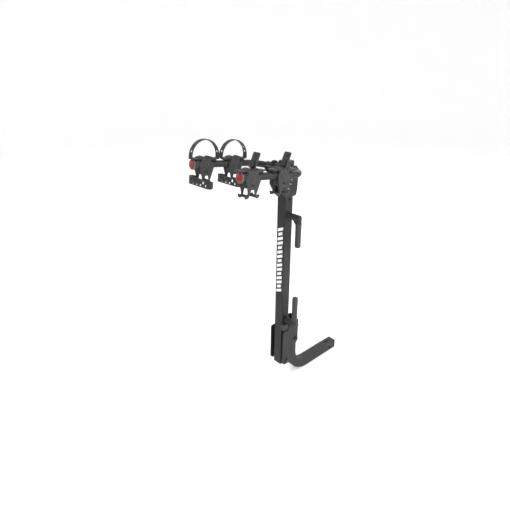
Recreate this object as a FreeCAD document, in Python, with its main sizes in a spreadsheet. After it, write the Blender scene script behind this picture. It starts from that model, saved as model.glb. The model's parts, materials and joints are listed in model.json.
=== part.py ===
import FreeCAD, Part
import math
import os
import re
import Sketcher
from FreeCAD import Placement, Rotation, Vector

# Hitch mounted bike rack for two bikes, in millimetres.
# +X is the right hand side seen from behind the vehicle, +Y points to the vehicle, +Z is up.
# The origin is the middle of the hitch pin hole in the shank.

os.makedirs("parts", exist_ok=True)
doc = FreeCAD.newDocument("hitch_bike_rack")

# ---------------------------------------------------------------- driving dimensions
SIZES = {
    "far_plane": 100.0,             # sketch planes for through holes, well outside every piece
    # hitch shank: square tube, level leg with the pin hole, wide bend, upright leg
    "shank_half": 25.0, "shank_wall": 4.0, "shank_corner": 5.0, "shank_nose": 52.0,
    "bend_radius": 125.0, "bend_start": 193.0, "leg_back": 318.0, "leg_top": 334.0,
    "pin_radius": 8.0, "rattle_half_length": 17.0, "rattle_half_width": 5.0,
    # tilt bracket: two side plates and a web around the mast's foot
    "plate_inner": 40.0, "plate_thick": 5.0,
    "plate_back": 414.0, "plate_low_front": 356.0, "plate_high_front": 308.0,
    "plate_bottom": 96.0, "plate_step": 200.0, "plate_shoulder": 298.0,
    "plate_notch": 378.0, "plate_top": 338.0,
    "plate_toe": 22.0, "plate_corner": 9.0, "plate_nick": 6.0,
    "index_high": 212.0, "index_middle": 181.0, "index_low": 152.0,
    "web_back": 349.0, "web_front": 343.0, "web_bottom": 150.0, "web_top": 300.0,
    "bracket_bolt_back": 322.0, "bracket_bolt_low": 225.0, "bracket_bolt_high": 305.0,
    "bolt_radius": 6.0, "spacer_radius": 13.0, "hex_radius": 11.0,
    "nut_length": 10.0, "head_length": 7.0,
    "striker_back": 367.0, "striker_up": 320.0, "striker_radius": 5.0, "striker_inner": 29.0,
    "striker_head": 6.5, "striker_head_length": 3.0,
    "drain_radius": 3.6, "drain_step": 10.5,
    # mast and its pivot
    "mast_back": 384.0, "mast_half": 25.0, "mast_wall": 3.0, "mast_corner": 5.0,
    "mast_foot": 94.0, "mast_head": 1128.0, "bush_overhang": 3.0,
    "pivot_up": 118.0, "pivot_bush_radius": 9.0, "pivot_bush_bore": 6.06, "pivot_gap": 0.6,
    "plug_flange": 3.0, "plug_depth": 14.0, "plug_half": 21.8, "cap_height": 10.0, "dome_radius": 3.5,
    # upper grab handle and lower release lever: thick bar out to the right, grip along the mast
    "handle_up": 898.0, "lever_up": 357.0, "bar_radius": 14.5, "bar_end": 99.0,
    "grip_side": 85.0, "grip_core": 11.0, "grip_radius": 14.0, "grip_tip": 3.0, "grip_seat": 4.0,
    "handle_grip_end": 759.0, "lever_grip_end": 508.0,
    "handle_bolt_radius": 5.0, "handle_bolt_depth": 46.0,
    "shaft_radius": 7.0, "shaft_bore": 7.06, "shaft_end": 34.0, "lever_nut_length": 8.4,
    "pawl_inner": 26.0, "pawl_outer": 38.0, "pawl_nose_low": 327.5,
    "pawl_nose_back": 374.0, "pawl_nose_front": 362.0,
    "housing_back": 412.0, "housing_front": 381.0, "housing_low": 305.0, "housing_high": 338.0,
    "housing_side": 43.0, "housing_corner": 3.0,
    "spring_radius": 10.0, "spring_wire": 0.9, "spring_pitch": 5.0, "spring_length": 30.0,
    # hub plates on the mast's head, and the pivot of the arms
    "hub_thick": 6.0, "hub_back": 452.0, "hub_low": 984.0, "hub_front": 337.0,
    "hub_chin_back": 416.0, "hub_waist": 1040.0, "hub_chin_front": 350.0,
    "hub_brow": 1098.0, "hub_crown": 1112.0, "hub_cheek": 1008.0, "hub_cheek_front": 343.0,
    "hub_crown_front": 353.0, "hub_crown_top": 1116.0, "hub_round": 14.0, "hub_corner": 6.0,
    "axis_back": 430.0, "axis_up": 1112.0, "hub_lobe": 28.0,
    "cross_radius": 18.0, "cross_bore": 14.1, "hub_bore": 18.06, "cross_half": 70.0,
    "hub_bolt_radius": 5.0, "hub_bolt_back": 384.0, "hub_bolt_up": 1050.0,
    "hub_bolt_low_back": 402.0, "hub_bolt_low_up": 1014.0,
    "hub_nut_length": 8.0, "hub_hex_radius": 9.0, "hub_head_length": 6.5,
    "tether_hole_radius": 5.0, "tether_hole_up": 971.0, "tether_hole_back": 382.0,
    "rivet_hole_radius": 2.0,
    "rivet_hole_up": 952.0,
    # arm release bail: flat bar across the back of the hub on two ears
    "bail_inner": 36.0, "bail_outer": 40.0, "bail_back": 475.0, "bail_front": 459.0,
    "bail_low": 1117.0, "bail_high": 1122.0, "bail_pivot_back": 425.0,
    "bail_pivot_up": 1062.0, "bail_ear": 9.0, "bail_screw": 3.0, "bail_bore": 3.06,
    "bail_ear_back": 473.0, "bail_knee_back": 1107.0, "bail_knee_front": 1111.0, "bail_neck": 421.0,
    "bail_gap": 0.4, "bail_head": 6.0, "bail_head_length": 4.0,
    # arms: bent round tubes, in a frame whose -Y runs out along the arm
    "arm_side": 145.0, "arm_radius": 14.0, "arm_wall": 2.0, "arm_bend": 60.0,
    "arm_join": 55.0, "arm_end": 333.0,
    "cap_radius": 20.0, "left_cap_root": 303.5, "right_cap_root": 316.5, "cap_face": 338.0,
    "lens_radius": 17.5, "lens_face": 341.0, "lens_seat": 4.0,
    # cradles, in a frame centred on the arm
    "core_half": 18.5, "core_top": 25.6, "core_bottom": 38.0, "core_corner": 10.0,
    "core_reach": 24.0, "core_bore": 14.35, "rail_reach": 63.0, "rail_half": 15.0,
    "rail_low": 20.6, "skirt_inner": 14.8, "skirt_outer": 19.8, "skirt_top": 8.0,
    "skirt_waist": 14.0, "ankle_reach": 27.0, "ankle_low": 58.0, "foot_reach": 26.0, "foot_low": 66.0,
    "foot_radius": 5.5, "heel_reach": 31.0, "toe_reach": 20.0, "arch_reach": 9.0, "arch_top": 42.0,
    "pad_reach": 38.0, "pad_half": 14.0, "pad_height": 8.0, "groove_radius": 26.0,
    "groove_up": 54.6,
    "strap_radius": 66.0, "strap_thick": 3.0, "strap_half": 12.0, "strap_up": 32.0,
    "strap_foot": 20.6, "strap_hole": 4.0, "strap_hole_low": 34.0, "strap_hole_high": 50.0,
    "band_out": 60.0, "band_in": 86.0, "band_back": 35.0, "band_thick": 3.5, "band_low": 92.0,
    "band_high": 54.0, "band_corner": 8.0, "band_hole": 4.5, "band_hole_first": 44.0,
    "band_hole_step": 23.0, "band_row_high": 64.5, "band_row_low": 81.5,
    "tail_half": 17.0, "tail_thick": 5.0, "tail_length": 58.0, "tail_lean": 20.0,
    "tail_back": 3.0, "tail_sink": 2.0, "tail_slot_half": 8.0, "tail_slot_height": 10.0,
    "tail_slot_low": 21.0, "tail_slot_high": 40.0,
    "boss_radius": 9.0, "boss_rise": 10.5, "boss_length": 9.0,
    "buckle_half": 14.5, "buckle_shoulder": 17.5, "buckle_step": 13.0, "buckle_drop": 34.0,
    "buckle_thick": 4.0, "buckle_corner": 9.0, "buckle_gap": 0.4,
    "knob_side": 16.0, "knob_stem": 2.0, "knob_ball": 3.0, "knob_rise": 7.0, "knob_height": 4.0,
    "clamp_screw_radius": 3.0, "clamp_screw_up": 27.0, "screw_head_radius": 5.0,
    "screw_head_length": 4.0,
}
ARM_RISE = 6.4                  # degrees that the arms rise towards their tips
BAND_COLUMNS = 6
# millimetres out along each arm from its pivot
CRADLE_STATIONS = {"right": {1: 288.0, 2: 131.0}, "left": {1: 279.0, 2: 131.0}}

sheet = doc.addObject("Spreadsheet::Sheet", "Sizes")
for row, (alias, size) in enumerate(SIZES.items(), start=1):
    sheet.set(f"A{row}", alias)
    sheet.set(f"B{row}", str(size))
    sheet.setAlias(f"B{row}", alias)
doc.recompute()

TERM = re.compile(r"([+-]?)([A-Za-z_]\w*|[\d.]+)")


def amount(text):
    """Value of a sum of named sizes and numbers, such as 'mast_foot+12-shank_half'."""
    total = 0.0
    for sign, word in TERM.findall(text.replace(" ", "")):
        value = SIZES[word] if word in SIZES else float(word)
        total += -value if sign == "-" else value
    return total


def formula(text):
    """The same sum as an expression on the sheet's cells."""
    terms = TERM.findall(text.replace(" ", ""))
    return "".join(sign + (f"Sizes.{word}" if word in SIZES else word) for sign, word in terms)


def bind(thing, **sizes):
    for prop, text in sizes.items():
        thing.setExpression(prop, formula(text))


def bind_place(thing, corner):
    for axis, text in zip("xyz", corner):
        thing.setExpression(f".Placement.Base.{axis}", formula(text))


# ---------------------------------------------------------------- Part primitives
def box(name, corner, size):
    block = doc.addObject("Part::Box", name)
    bind(block, Length=size[0], Width=size[1], Height=size[2])
    bind_place(block, corner)
    return block


TURNS = {"x": Rotation(Vector(0, 1, 0), 90), "y": Rotation(Vector(1, 0, 0), -90),
         "z": Rotation()}


def rod(name, axis, start, radius, length):
    """Round bar from start, along +axis."""
    bar = doc.addObject("Part::Cylinder", name)
    bar.Placement = Placement(Vector(), TURNS[axis])
    bind(bar, Radius=radius, Height=length)
    bind_place(bar, start)
    return bar


def hexagon(name, axis, start, radius, length):
    head = doc.addObject("Part::Prism", name)
    head.Polygon = 6
    head.Placement = Placement(Vector(), TURNS[axis])
    bind(head, Circumradius=radius, Height=length)
    bind_place(head, start)
    return head


def cut(name, base, tool):
    result = doc.addObject("Part::Cut", name)
    result.Base = base
    result.Tool = tool
    return result


def fuse(name, pieces):
    result = doc.addObject("Part::MultiFuse", name)
    result.Shapes = pieces
    return result


def ring(name, axis, start, outer, inner, length):
    return cut(name, rod(name + "_outside", axis, start, outer, length),
               rod(name + "_bore", axis, start, inner, length))


def group(name, pieces):
    result = doc.addObject("Part::Compound", name)
    result.Links = pieces
    return result


def opposite(text):
    """The same sum with every sign turned."""
    return "".join(("" if sign == "-" else "-") + word if place == 0 else
                   ("+" if sign == "-" else "-") + word
                   for place, (sign, word) in enumerate(TERM.findall(text.replace(" ", ""))))


def cross_bolt(name, at, radius, face, nut_length, head_radius, head_length):
    """Bolt along X: its head on the right hand face, its end flush with the left hand nut."""
    back, up = at
    left = opposite(face) + "-" + nut_length
    shank = rod(name + "_shank", "x", (left, back, up), radius, face + "+" + face + "+" + nut_length)
    head = hexagon(name + "_head", "x", (face, back, up), head_radius, head_length)
    return fuse(name, [shank, head])


def cross_nut(name, at, radius, face, nut_length, nut_radius):
    """Hexagon nut outside the left hand face."""
    back, up = at
    start = (opposite(face) + "-" + nut_length, back, up)
    return cut(name, hexagon(name + "_hex", "x", start, nut_radius, nut_length),
               rod(name + "_thread", "x", start, radius, nut_length))


# ---------------------------------------------------------------- PartDesign helpers
def new_body(name):
    return doc.addObject("PartDesign::Body", name)


def new_sketch(body, role, offset="0"):
    """Sketch on one of the body's own planes, moved along the plane's normal."""
    sketch = body.newObject("Sketcher::SketchObject", body.Name + "_sketch")
    plane = next(f for f in body.Origin.OriginFeatures if f.Role == role)
    sketch.AttachmentSupport = (plane, [""])
    sketch.MapMode = "FlatFace"
    sketch.AttachmentOffset = Placement(Vector(0, 0, amount(offset)), Rotation())
    if offset != "0":
        sketch.setExpression(".AttachmentOffset.Base.z", formula(offset))
    return sketch


def tie(sketch, kind, places, text):
    """Dimension named after its place in the list, read from the sheet."""
    value = amount(text)
    index = sketch.addConstraint(Sketcher.Constraint(kind, *places, value))
    if any(ch.isalpha() for ch in text):
        name = f"size_{index}"
        sketch.renameConstraint(index, name)
        sketch.setExpression(f"Constraints.{name}", formula(text))


def outline(sketch, points):
    """Closed polygon whose corners are sums of named sizes."""
    spots = [Vector(amount(a), amount(b), 0) for a, b in points]
    first = sketch.GeometryCount
    for here, there in zip(spots, spots[1:] + spots[:1]):
        sketch.addGeometry(Part.LineSegment(here, there), False)
    count = len(spots)
    for i in range(count):
        after = first + (i + 1) % count
        sketch.addConstraint(Sketcher.Constraint("Coincident", first + i, 2, after, 1))
    for i, (a, b) in enumerate(points):
        tie(sketch, "DistanceX", (-1, 1, first + i, 1), a)
        tie(sketch, "DistanceY", (-1, 1, first + i, 1), b)


def circle(sketch, centre, radius):
    spot = Vector(amount(centre[0]), amount(centre[1]), 0)
    index = sketch.addGeometry(Part.Circle(spot, Vector(0, 0, 1), amount(radius)), False)
    tie(sketch, "DistanceX", (-1, 1, index, 3), centre[0])
    tie(sketch, "DistanceY", (-1, 1, index, 3), centre[1])
    tie(sketch, "Radius", (index,), radius)


def rectangle(sketch, low, high):
    outline(sketch, [(low[0], low[1]), (high[0], low[1]), (high[0], high[1]), (low[0], high[1])])


def rounded_square(sketch, half, corner):
    """Square about the sketch's origin with four round corners."""
    reach = amount(half)
    flat = reach - amount(corner)
    lines, arcs = [], []
    for side in range(4):
        turn = side * math.pi / 2
        spin = Rotation(Z_AXIS, 90 * side)
        start, end = spin.multVec(Vector(reach, -flat, 0)), spin.multVec(Vector(reach, flat, 0))
        lines.append(sketch.addGeometry(Part.LineSegment(start, end), False))
        bend = Part.Circle(spin.multVec(Vector(flat, flat, 0)), Z_AXIS, amount(corner))
        arcs.append(sketch.addGeometry(Part.ArcOfCircle(bend, turn, turn + math.pi / 2), False))
    for side in range(4):
        after = lines[(side + 1) % 4]
        sketch.addConstraint(Sketcher.Constraint("Tangent", lines[side], 2, arcs[side], 1))
        sketch.addConstraint(Sketcher.Constraint("Tangent", arcs[side], 2, after, 1))
        sketch.addConstraint(Sketcher.Constraint("Horizontal" if side % 2 else "Vertical", lines[side]))
        tie(sketch, "Radius", (arcs[side],), corner)
    for side, kind, text in ((0, "DistanceX", half), (1, "DistanceY", half),
                             (2, "DistanceX", opposite(half)), (3, "DistanceY", opposite(half))):
        tie(sketch, kind, (-1, 1, lines[side], 1), text)


def pad(body, sketch, length):
    feature = body.newObject("PartDesign::Pad", body.Name + "_pad")
    feature.Profile = sketch
    feature.setExpression("Length", formula(length))
    sketch.Visibility = False
    doc.recompute()
    return feature


def pocket(body, sketch, length=None):
    """Cut against the sketch plane's normal, all the way or to a length."""
    before = body.Shape.Volume
    feature = body.newObject("PartDesign::Pocket", body.Name + "_pocket")
    feature.Profile = sketch
    if length:
        feature.setExpression("Length", formula(length))
    else:
        feature.Type = "ThroughAll"
    doc.recompute()
    if body.Shape.Volume > before - 0.1:
        raise RuntimeError(f"{body.Name}: a pocket cuts nothing")
    return feature


def holes(body, role, offset, spots, length=None):
    """Round holes, each (centre, radius), in one pocket."""
    sketch = new_sketch(body, role, offset)
    for centre, radius in spots:
        circle(sketch, centre, radius)
    return pocket(body, sketch, length)


def edges_near(shape, direction, spots, reach=2.0):
    """Names of straight edges along a direction that pass near one of the spots."""
    names = []
    for number, edge in enumerate(shape.Edges, start=1):
        if edge.Curve.TypeId != "Part::GeomLine":
            continue
        if abs(abs(edge.tangentAt(edge.FirstParameter).dot(direction)) - 1) > 1e-6:
            continue
        middle = edge.CenterOfMass
        for spot in spots:
            gap = middle - spot
            gap = gap - direction * gap.dot(direction)
            if gap.Length < reach:
                names.append(f"Edge{number}")
                break
    return names


def fillet(body, direction, spots, radius):
    base = body.Tip
    names = edges_near(base.Shape, direction, spots)
    if not names:
        raise RuntimeError(f"{body.Name}: no edge to round")
    feature = body.newObject("PartDesign::Fillet", body.Name + "_fillet")
    feature.Base = (base, names)
    feature.setExpression("Radius", formula(radius))
    doc.recompute()
    return feature


X_AXIS = Vector(1, 0, 0)
Y_AXIS = Vector(0, 1, 0)
Z_AXIS = Vector(0, 0, 1)
nodes = {}


def keep(name, thing, place=None):
    """Name a finished sub-part after its node, and put it in its frame."""
    thing.Label = name
    if place is not None:
        thing.Placement = place
    nodes[name] = thing


# ---------------------------------------------------------------- hitch shank
def make_shank():
    body = new_body("ShankBody")
    profile = new_sketch(body, "XZ_Plane", "-shank_nose")
    rounded_square(profile, "shank_half", "shank_corner")
    path = new_sketch(body, "YZ_Plane")
    nose, start = amount("shank_nose"), -amount("bend_start")
    back, radius, top = -amount("leg_back"), amount("bend_radius"), amount("leg_top")
    level = path.addGeometry(Part.LineSegment(Vector(nose, 0, 0), Vector(start, 0, 0)), False)
    bend_circle = Part.Circle(Vector(start, radius, 0), Z_AXIS, radius)
    bend = path.addGeometry(Part.ArcOfCircle(bend_circle, math.pi, 1.5 * math.pi), False)
    upright = path.addGeometry(Part.LineSegment(Vector(back, radius, 0), Vector(back, top, 0)), False)
    for constraint in (("Tangent", level, 2, bend, 2), ("Tangent", bend, 1, upright, 1),
                       ("Horizontal", level), ("Vertical", upright),
                       ("PointOnObject", level, 1, -1)):
        path.addConstraint(Sketcher.Constraint(*constraint))
    tie(path, "DistanceX", (-1, 1, level, 1), "shank_nose")
    tie(path, "Radius", (bend,), "bend_radius")
    tie(path, "DistanceX", (-1, 1, upright, 1), "-leg_back")
    tie(path, "DistanceY", (-1, 1, upright, 2), "leg_top")
    doc.recompute()
    tube = body.newObject("PartDesign::AdditivePipe", "shank_outside")
    tube.Profile = profile
    tube.Spine = (path, ["Edge1", "Edge2", "Edge3"])
    doc.recompute()
    hollow_profile = new_sketch(body, "XZ_Plane", "-shank_nose")
    rectangle(hollow_profile, ("-shank_half+shank_wall", "-shank_half+shank_wall"),
              ("shank_half-shank_wall", "shank_half-shank_wall"))
    doc.recompute()
    before = body.Shape.Volume
    hollow = body.newObject("PartDesign::SubtractivePipe", "shank_hollow")
    hollow.Profile = hollow_profile
    hollow.Spine = (path, ["Edge1", "Edge2", "Edge3"])
    doc.recompute()
    if body.Shape.Volume > 0.5 * before:
        raise RuntimeError("the shank is not hollow")
    bolts = [(("-bracket_bolt_back", up), "bolt_radius") for up in
             ("bracket_bolt_low", "bracket_bolt_high")]
    holes(body, "YZ_Plane", "far_plane", [(("0", "0"), "pin_radius")] + bolts)
    slot = new_sketch(body, "XY_Plane", "shank_half")
    rectangle(slot, ("-rattle_half_width", "-rattle_half_length"),
              ("rattle_half_width", "rattle_half_length"))
    pocket(body, slot, "shank_wall+shank_wall")
    keep("hitch_shank", body)


# ---------------------------------------------------------------- tilt bracket
PLATE_OUTLINE = [
    ("-plate_back", "plate_bottom"), ("-plate_low_front", "plate_bottom"),
    ("-plate_low_front", "plate_step"), ("-plate_high_front", "plate_step"),
    ("-plate_high_front", "plate_top"), ("-plate_notch", "plate_top"),
    ("-plate_notch", "plate_shoulder"), ("-plate_back", "plate_shoulder")]
PLATE_ROUNDS = [("plate_toe", [0, 1]), ("plate_corner", [3, 4, 7]), ("plate_nick", [2, 5])]
INDEX_HOLES = ["index_high", "index_middle", "index_low"]
PLATE_FACE = "plate_inner+plate_thick"
HUB_FACE = "mast_half+hub_thick"


def make_bracket_plate(name, offset, is_right):
    body = new_body(name + "_body")
    sketch = new_sketch(body, "YZ_Plane", offset)
    outline(sketch, PLATE_OUTLINE)
    pad(body, sketch, "plate_thick")
    for radius, corners in PLATE_ROUNDS:
        spots = [Vector(0, amount(PLATE_OUTLINE[i][0]), amount(PLATE_OUTLINE[i][1])) for i in corners]
        fillet(body, X_AXIS, spots, radius)
    spots = [(("-mast_back", "pivot_up"), "bolt_radius"),
             (("-bracket_bolt_back", "bracket_bolt_low"), "bolt_radius"),
             (("-bracket_bolt_back", "bracket_bolt_high"), "bolt_radius")]
    spots += [(("-striker_back", up), "drain_radius") for up in INDEX_HOLES]
    if is_right:
        spots += [(("-striker_back", "striker_up"), "striker_radius"),
                  (("-striker_back", "striker_up+drain_step"), "drain_radius"),
                  (("-striker_back", "striker_up-drain_step"), "drain_radius")]
    holes(body, "YZ_Plane", "far_plane", spots)
    keep(name, body)


def make_bracket():
    make_bracket_plate("bracket_plate_right", "plate_inner", True)
    make_bracket_plate("bracket_plate_left", "-plate_inner-plate_thick", False)
    web = box("web_block", ("-plate_inner", "-web_back", "web_bottom"),
              ("plate_inner+plate_inner", "web_back-web_front", "web_top-web_bottom"))
    keep("bracket_web", web)
    spacers, bolts, nuts = [], [], []
    for level in ("low", "high"):
        at = ("-bracket_bolt_back", "bracket_bolt_" + level)
        for side, start in (("right", "shank_half"), ("left", "-plate_inner")):
            spacers.append(ring(f"spacer_{level}_{side}", "x", (start, *at), "spacer_radius",
                                "bolt_radius", "plate_inner-shank_half"))
        bolts.append(cross_bolt("bracket_bolt_" + level, at, "bolt_radius", PLATE_FACE,
                                "nut_length", "hex_radius", "head_length"))
        nuts.append(cross_nut("bracket_nut_" + level, at, "bolt_radius", PLATE_FACE,
                              "nut_length", "hex_radius"))
    keep("bracket_spacers", group("SpacerGroup", spacers))
    keep("bracket_bolts", group("BracketBoltGroup", bolts))
    keep("bracket_nuts", group("BracketNutGroup", nuts))
    pin = rod("striker_rod", "x", ("striker_inner", "-striker_back", "striker_up"), "striker_radius",
              "plate_inner+plate_thick-striker_inner")
    head = rod("striker_head", "x", ("plate_inner+plate_thick", "-striker_back", "striker_up"),
               "striker_head", "striker_head_length")
    keep("striker_pin", fuse("StrikerPin", [pin, head]))
    at = ("-mast_back", "pivot_up")
    keep("tilt_pivot_bolt", cross_bolt("PivotBolt", at, "bolt_radius", PLATE_FACE,
                                       "nut_length", "hex_radius", "head_length"))
    keep("tilt_pivot_nut", cross_nut("PivotNut", at, "bolt_radius", PLATE_FACE,
                                     "nut_length", "hex_radius"))
    gap = "mast_half+pivot_gap"
    rings = [ring("pivot_spacer_right", "x", (gap, *at), "spacer_radius", "bolt_radius",
                  "plate_inner-mast_half-pivot_gap"),
             ring("pivot_spacer_left", "x", ("-plate_inner", *at), "spacer_radius", "bolt_radius",
                  "plate_inner-mast_half-pivot_gap")]
    keep("tilt_pivot_spacers", group("PivotSpacerGroup", rings))


# ---------------------------------------------------------------- mast
def make_mast():
    body = new_body("MastBody")
    sketch = new_sketch(body, "XY_Plane", "mast_foot")
    rectangle(sketch, ("-mast_half", "-mast_back-mast_half"), ("mast_half", "-mast_back+mast_half"))
    pad(body, sketch, "mast_head-mast_foot")
    half = amount("mast_half")
    corners = [Vector(sx * half, -amount("mast_back") + sy * half, 0)
               for sx in (-1, 1) for sy in (-1, 1)]
    fillet(body, Z_AXIS, corners, "mast_corner")
    inside = new_sketch(body, "XY_Plane", "mast_head")
    rectangle(inside, ("-mast_half+mast_wall", "-mast_back-mast_half+mast_wall"),
              ("mast_half-mast_wall", "-mast_back+mast_half-mast_wall"))
    pocket(body, inside)
    holes(body, "YZ_Plane", "far_plane", [
        (("-mast_back", "pivot_up"), "pivot_bush_radius"),
        (("-mast_back", "lever_up"), "shaft_bore"),
        (("-mast_back", "handle_up"), "handle_bolt_radius"),
        (("-hub_bolt_back", "hub_bolt_up"), "hub_bolt_radius"),
        (("-hub_bolt_low_back", "hub_bolt_low_up"), "hub_bolt_radius")])
    holes(body, "YZ_Plane", "far_plane", [
        (("-tether_hole_back", "tether_hole_up"), "tether_hole_radius"),
        (("-tether_hole_back", "rivet_hole_up"), "rivet_hole_radius")], "far_plane")
    keep("mast_tube", body)

    flange = box("foot_flange", ("-mast_half", "-mast_back-mast_half", "mast_foot-plug_flange"),
                 ("mast_half+mast_half", "mast_half+mast_half", "plug_flange"))
    stem = box("foot_stem", ("-plug_half", "-mast_back-plug_half", "mast_foot"),
               ("plug_half+plug_half", "plug_half+plug_half", "plug_depth"))
    keep("mast_foot_plug", fuse("FootPlug", [flange, stem]))

    cap = new_body("CapBody")
    top = new_sketch(cap, "XY_Plane", "mast_head")
    rectangle(top, ("-mast_half", "-mast_back-mast_half"), ("mast_half", "-mast_back+mast_half"))
    pad(cap, top, "cap_height")
    fillet(cap, Z_AXIS, corners, "mast_corner")
    rim = [f"Edge{i}" for i, edge in enumerate(cap.Shape.Edges, start=1)
           if edge.CenterOfMass.z > amount("mast_head+cap_height") - 0.01]
    block = cap.Tip
    dome = cap.newObject("PartDesign::Fillet", "cap_dome")
    dome.Base = (block, rim)
    bind(dome, Radius="dome_radius")
    doc.recompute()
    stem = new_sketch(cap, "XY_Plane", "mast_head-plug_depth")
    rectangle(stem, ("-plug_half", "-mast_back-plug_half"), ("plug_half", "-mast_back+plug_half"))
    pad(cap, stem, "plug_depth")
    keep("mast_cap", cap)

    at = ("-mast_back", "pivot_up")
    bushes = [ring("bush_right", "x", ("mast_half-mast_wall-bush_overhang", *at), "pivot_bush_radius",
                   "pivot_bush_bore", "mast_wall+bush_overhang"),
              ring("bush_left", "x", ("-mast_half", *at), "pivot_bush_radius",
                   "pivot_bush_bore", "mast_wall+bush_overhang")]
    keep("tilt_pivot_bushes", group("BushGroup", bushes))

    housing = new_body("HousingBody")
    face = new_sketch(housing, "YZ_Plane", "mast_half")
    rectangle(face, ("-housing_back", "housing_low"), ("-housing_front", "housing_high"))
    pad(housing, face, "housing_side-mast_half")
    spots = [Vector(0, -amount(a), amount(b)) for a in ("housing_back", "housing_front")
             for b in ("housing_low", "housing_high")]
    fillet(housing, X_AXIS, spots, "housing_corner")
    keep("latch_housing", housing)


# ---------------------------------------------------------------- handle and release lever
def make_upper_handle():
    at = ("-mast_back", "handle_up")
    bar = rod("handle_bar", "x", ("mast_half", *at), "bar_radius", "bar_end-mast_half")
    core = rod("handle_core", "z", ("grip_side", "-mast_back", "handle_grip_end+grip_tip"),
               "grip_core", "handle_up-handle_grip_end-grip_tip")
    solid = fuse("HandleSolid", [bar, core])
    hole = rod("handle_thread", "x", ("mast_half", *at), "handle_bolt_radius",
               "handle_bolt_depth-mast_half")
    keep("upper_handle", cut("UpperHandle", solid, hole))
    sleeve = rod("handle_sleeve", "z", ("grip_side", "-mast_back", "handle_grip_end"),
                 "grip_radius", "handle_up-bar_radius-handle_grip_end+grip_seat")
    keep("upper_handle_grip", cut("UpperGrip", sleeve, solid))
    bolt = rod("handle_stud", "x", ("-mast_half", *at), "handle_bolt_radius",
               "mast_half+handle_bolt_depth")
    head = hexagon("handle_head", "x", ("-mast_half-head_length", *at), "hub_hex_radius",
                   "head_length")
    keep("handle_bolt", fuse("HandleBolt", [bolt, head]))


def make_tilt_lever():
    at = ("-mast_back", "lever_up")
    shaft = rod("lever_shaft", "x", ("-shaft_end", *at), "shaft_radius", "shaft_end+pawl_outer")
    bar = rod("lever_bar", "x", ("pawl_outer", *at), "bar_radius", "bar_end-pawl_outer")
    core = rod("lever_core", "z", ("grip_side", "-mast_back", "lever_up"), "grip_core",
               "lever_grip_end-lever_up-grip_tip")
    solid = fuse("TiltLever", [shaft, bar, core])
    keep("tilt_lever", solid)
    sleeve = rod("lever_sleeve", "z",
                 ("grip_side", "-mast_back", "lever_up+bar_radius-grip_seat"),
                 "grip_radius", "lever_grip_end-lever_up-bar_radius+grip_seat")
    keep("tilt_lever_grip", cut("LeverGrip", sleeve, solid))
    hub = rod("pawl_hub", "x", ("pawl_inner", *at), "bar_radius", "pawl_outer-pawl_inner")
    nose = box("pawl_nose", ("pawl_inner", "-pawl_nose_back", "pawl_nose_low"),
               ("pawl_outer-pawl_inner", "pawl_nose_back-pawl_nose_front",
                "lever_up-pawl_nose_low"))
    bore = rod("pawl_bore", "x", ("pawl_inner", *at), "shaft_radius", "pawl_outer-pawl_inner")
    keep("lock_pawl", cut("LockPawl", fuse("PawlSolid", [hub, nose]), bore))
    keep("tilt_lever_nut", cross_nut("LeverNut", at, "shaft_radius", "mast_half+pivot_gap",
                                     "lever_nut_length", "hex_radius"))
    helix = doc.addObject("Part::Helix", "spring_path")
    bind(helix, Radius="spring_radius", Pitch="spring_pitch", Height="spring_length")
    helix.SegmentLength = 1
    ring_profile = doc.addObject("Part::Circle", "spring_section")
    bind(ring_profile, Radius="spring_wire")
    ring_profile.Placement = Placement(Vector(amount("spring_radius"), 0, 0),
                                       Rotation(Vector(1, 0, 0), 90))
    spring = doc.addObject("Part::Sweep", "LeverSpring")
    doc.recompute()
    spring.Sections = [ring_profile]
    spring.Spine = (helix, [])
    spring.Solid = True
    spring.Frenet = True
    place = Placement(Vector(-amount("spring_length") / 2, -amount("mast_back"),
                             amount("lever_up")), TURNS["x"])
    keep("lever_spring", spring, place)


# ---------------------------------------------------------------- hub and arm release
HUB_OUTLINE = [
    ("-hub_back", "hub_crown"), ("-hub_back", "hub_waist"), ("-hub_chin_back", "hub_low"),
    ("-hub_chin_front", "hub_low"), ("-hub_cheek_front", "hub_cheek"), ("-hub_front", "hub_brow"),
    ("-hub_crown_front", "hub_crown_top")]


def make_hub_plate(name, offset):
    body = new_body(name + "_body")
    sketch = new_sketch(body, "YZ_Plane", offset)
    outline(sketch, HUB_OUTLINE)
    pad(body, sketch, "hub_thick")
    for radius, corners in (("hub_round", [1, 2]), ("hub_corner", [3, 5, 6])):
        spots = [Vector(0, amount(HUB_OUTLINE[i][0]), amount(HUB_OUTLINE[i][1])) for i in corners]
        fillet(body, X_AXIS, spots, radius)
    lobe = new_sketch(body, "YZ_Plane", offset)
    circle(lobe, ("-axis_back", "axis_up"), "hub_lobe")
    pad(body, lobe, "hub_thick")
    holes(body, "YZ_Plane", "far_plane", [
        (("-axis_back", "axis_up"), "hub_bore"),
        (("-hub_bolt_back", "hub_bolt_up"), "hub_bolt_radius"),
        (("-hub_bolt_low_back", "hub_bolt_low_up"), "hub_bolt_radius"),
        (("-bail_pivot_back", "bail_pivot_up"), "bail_screw")])
    keep(name, body)


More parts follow.
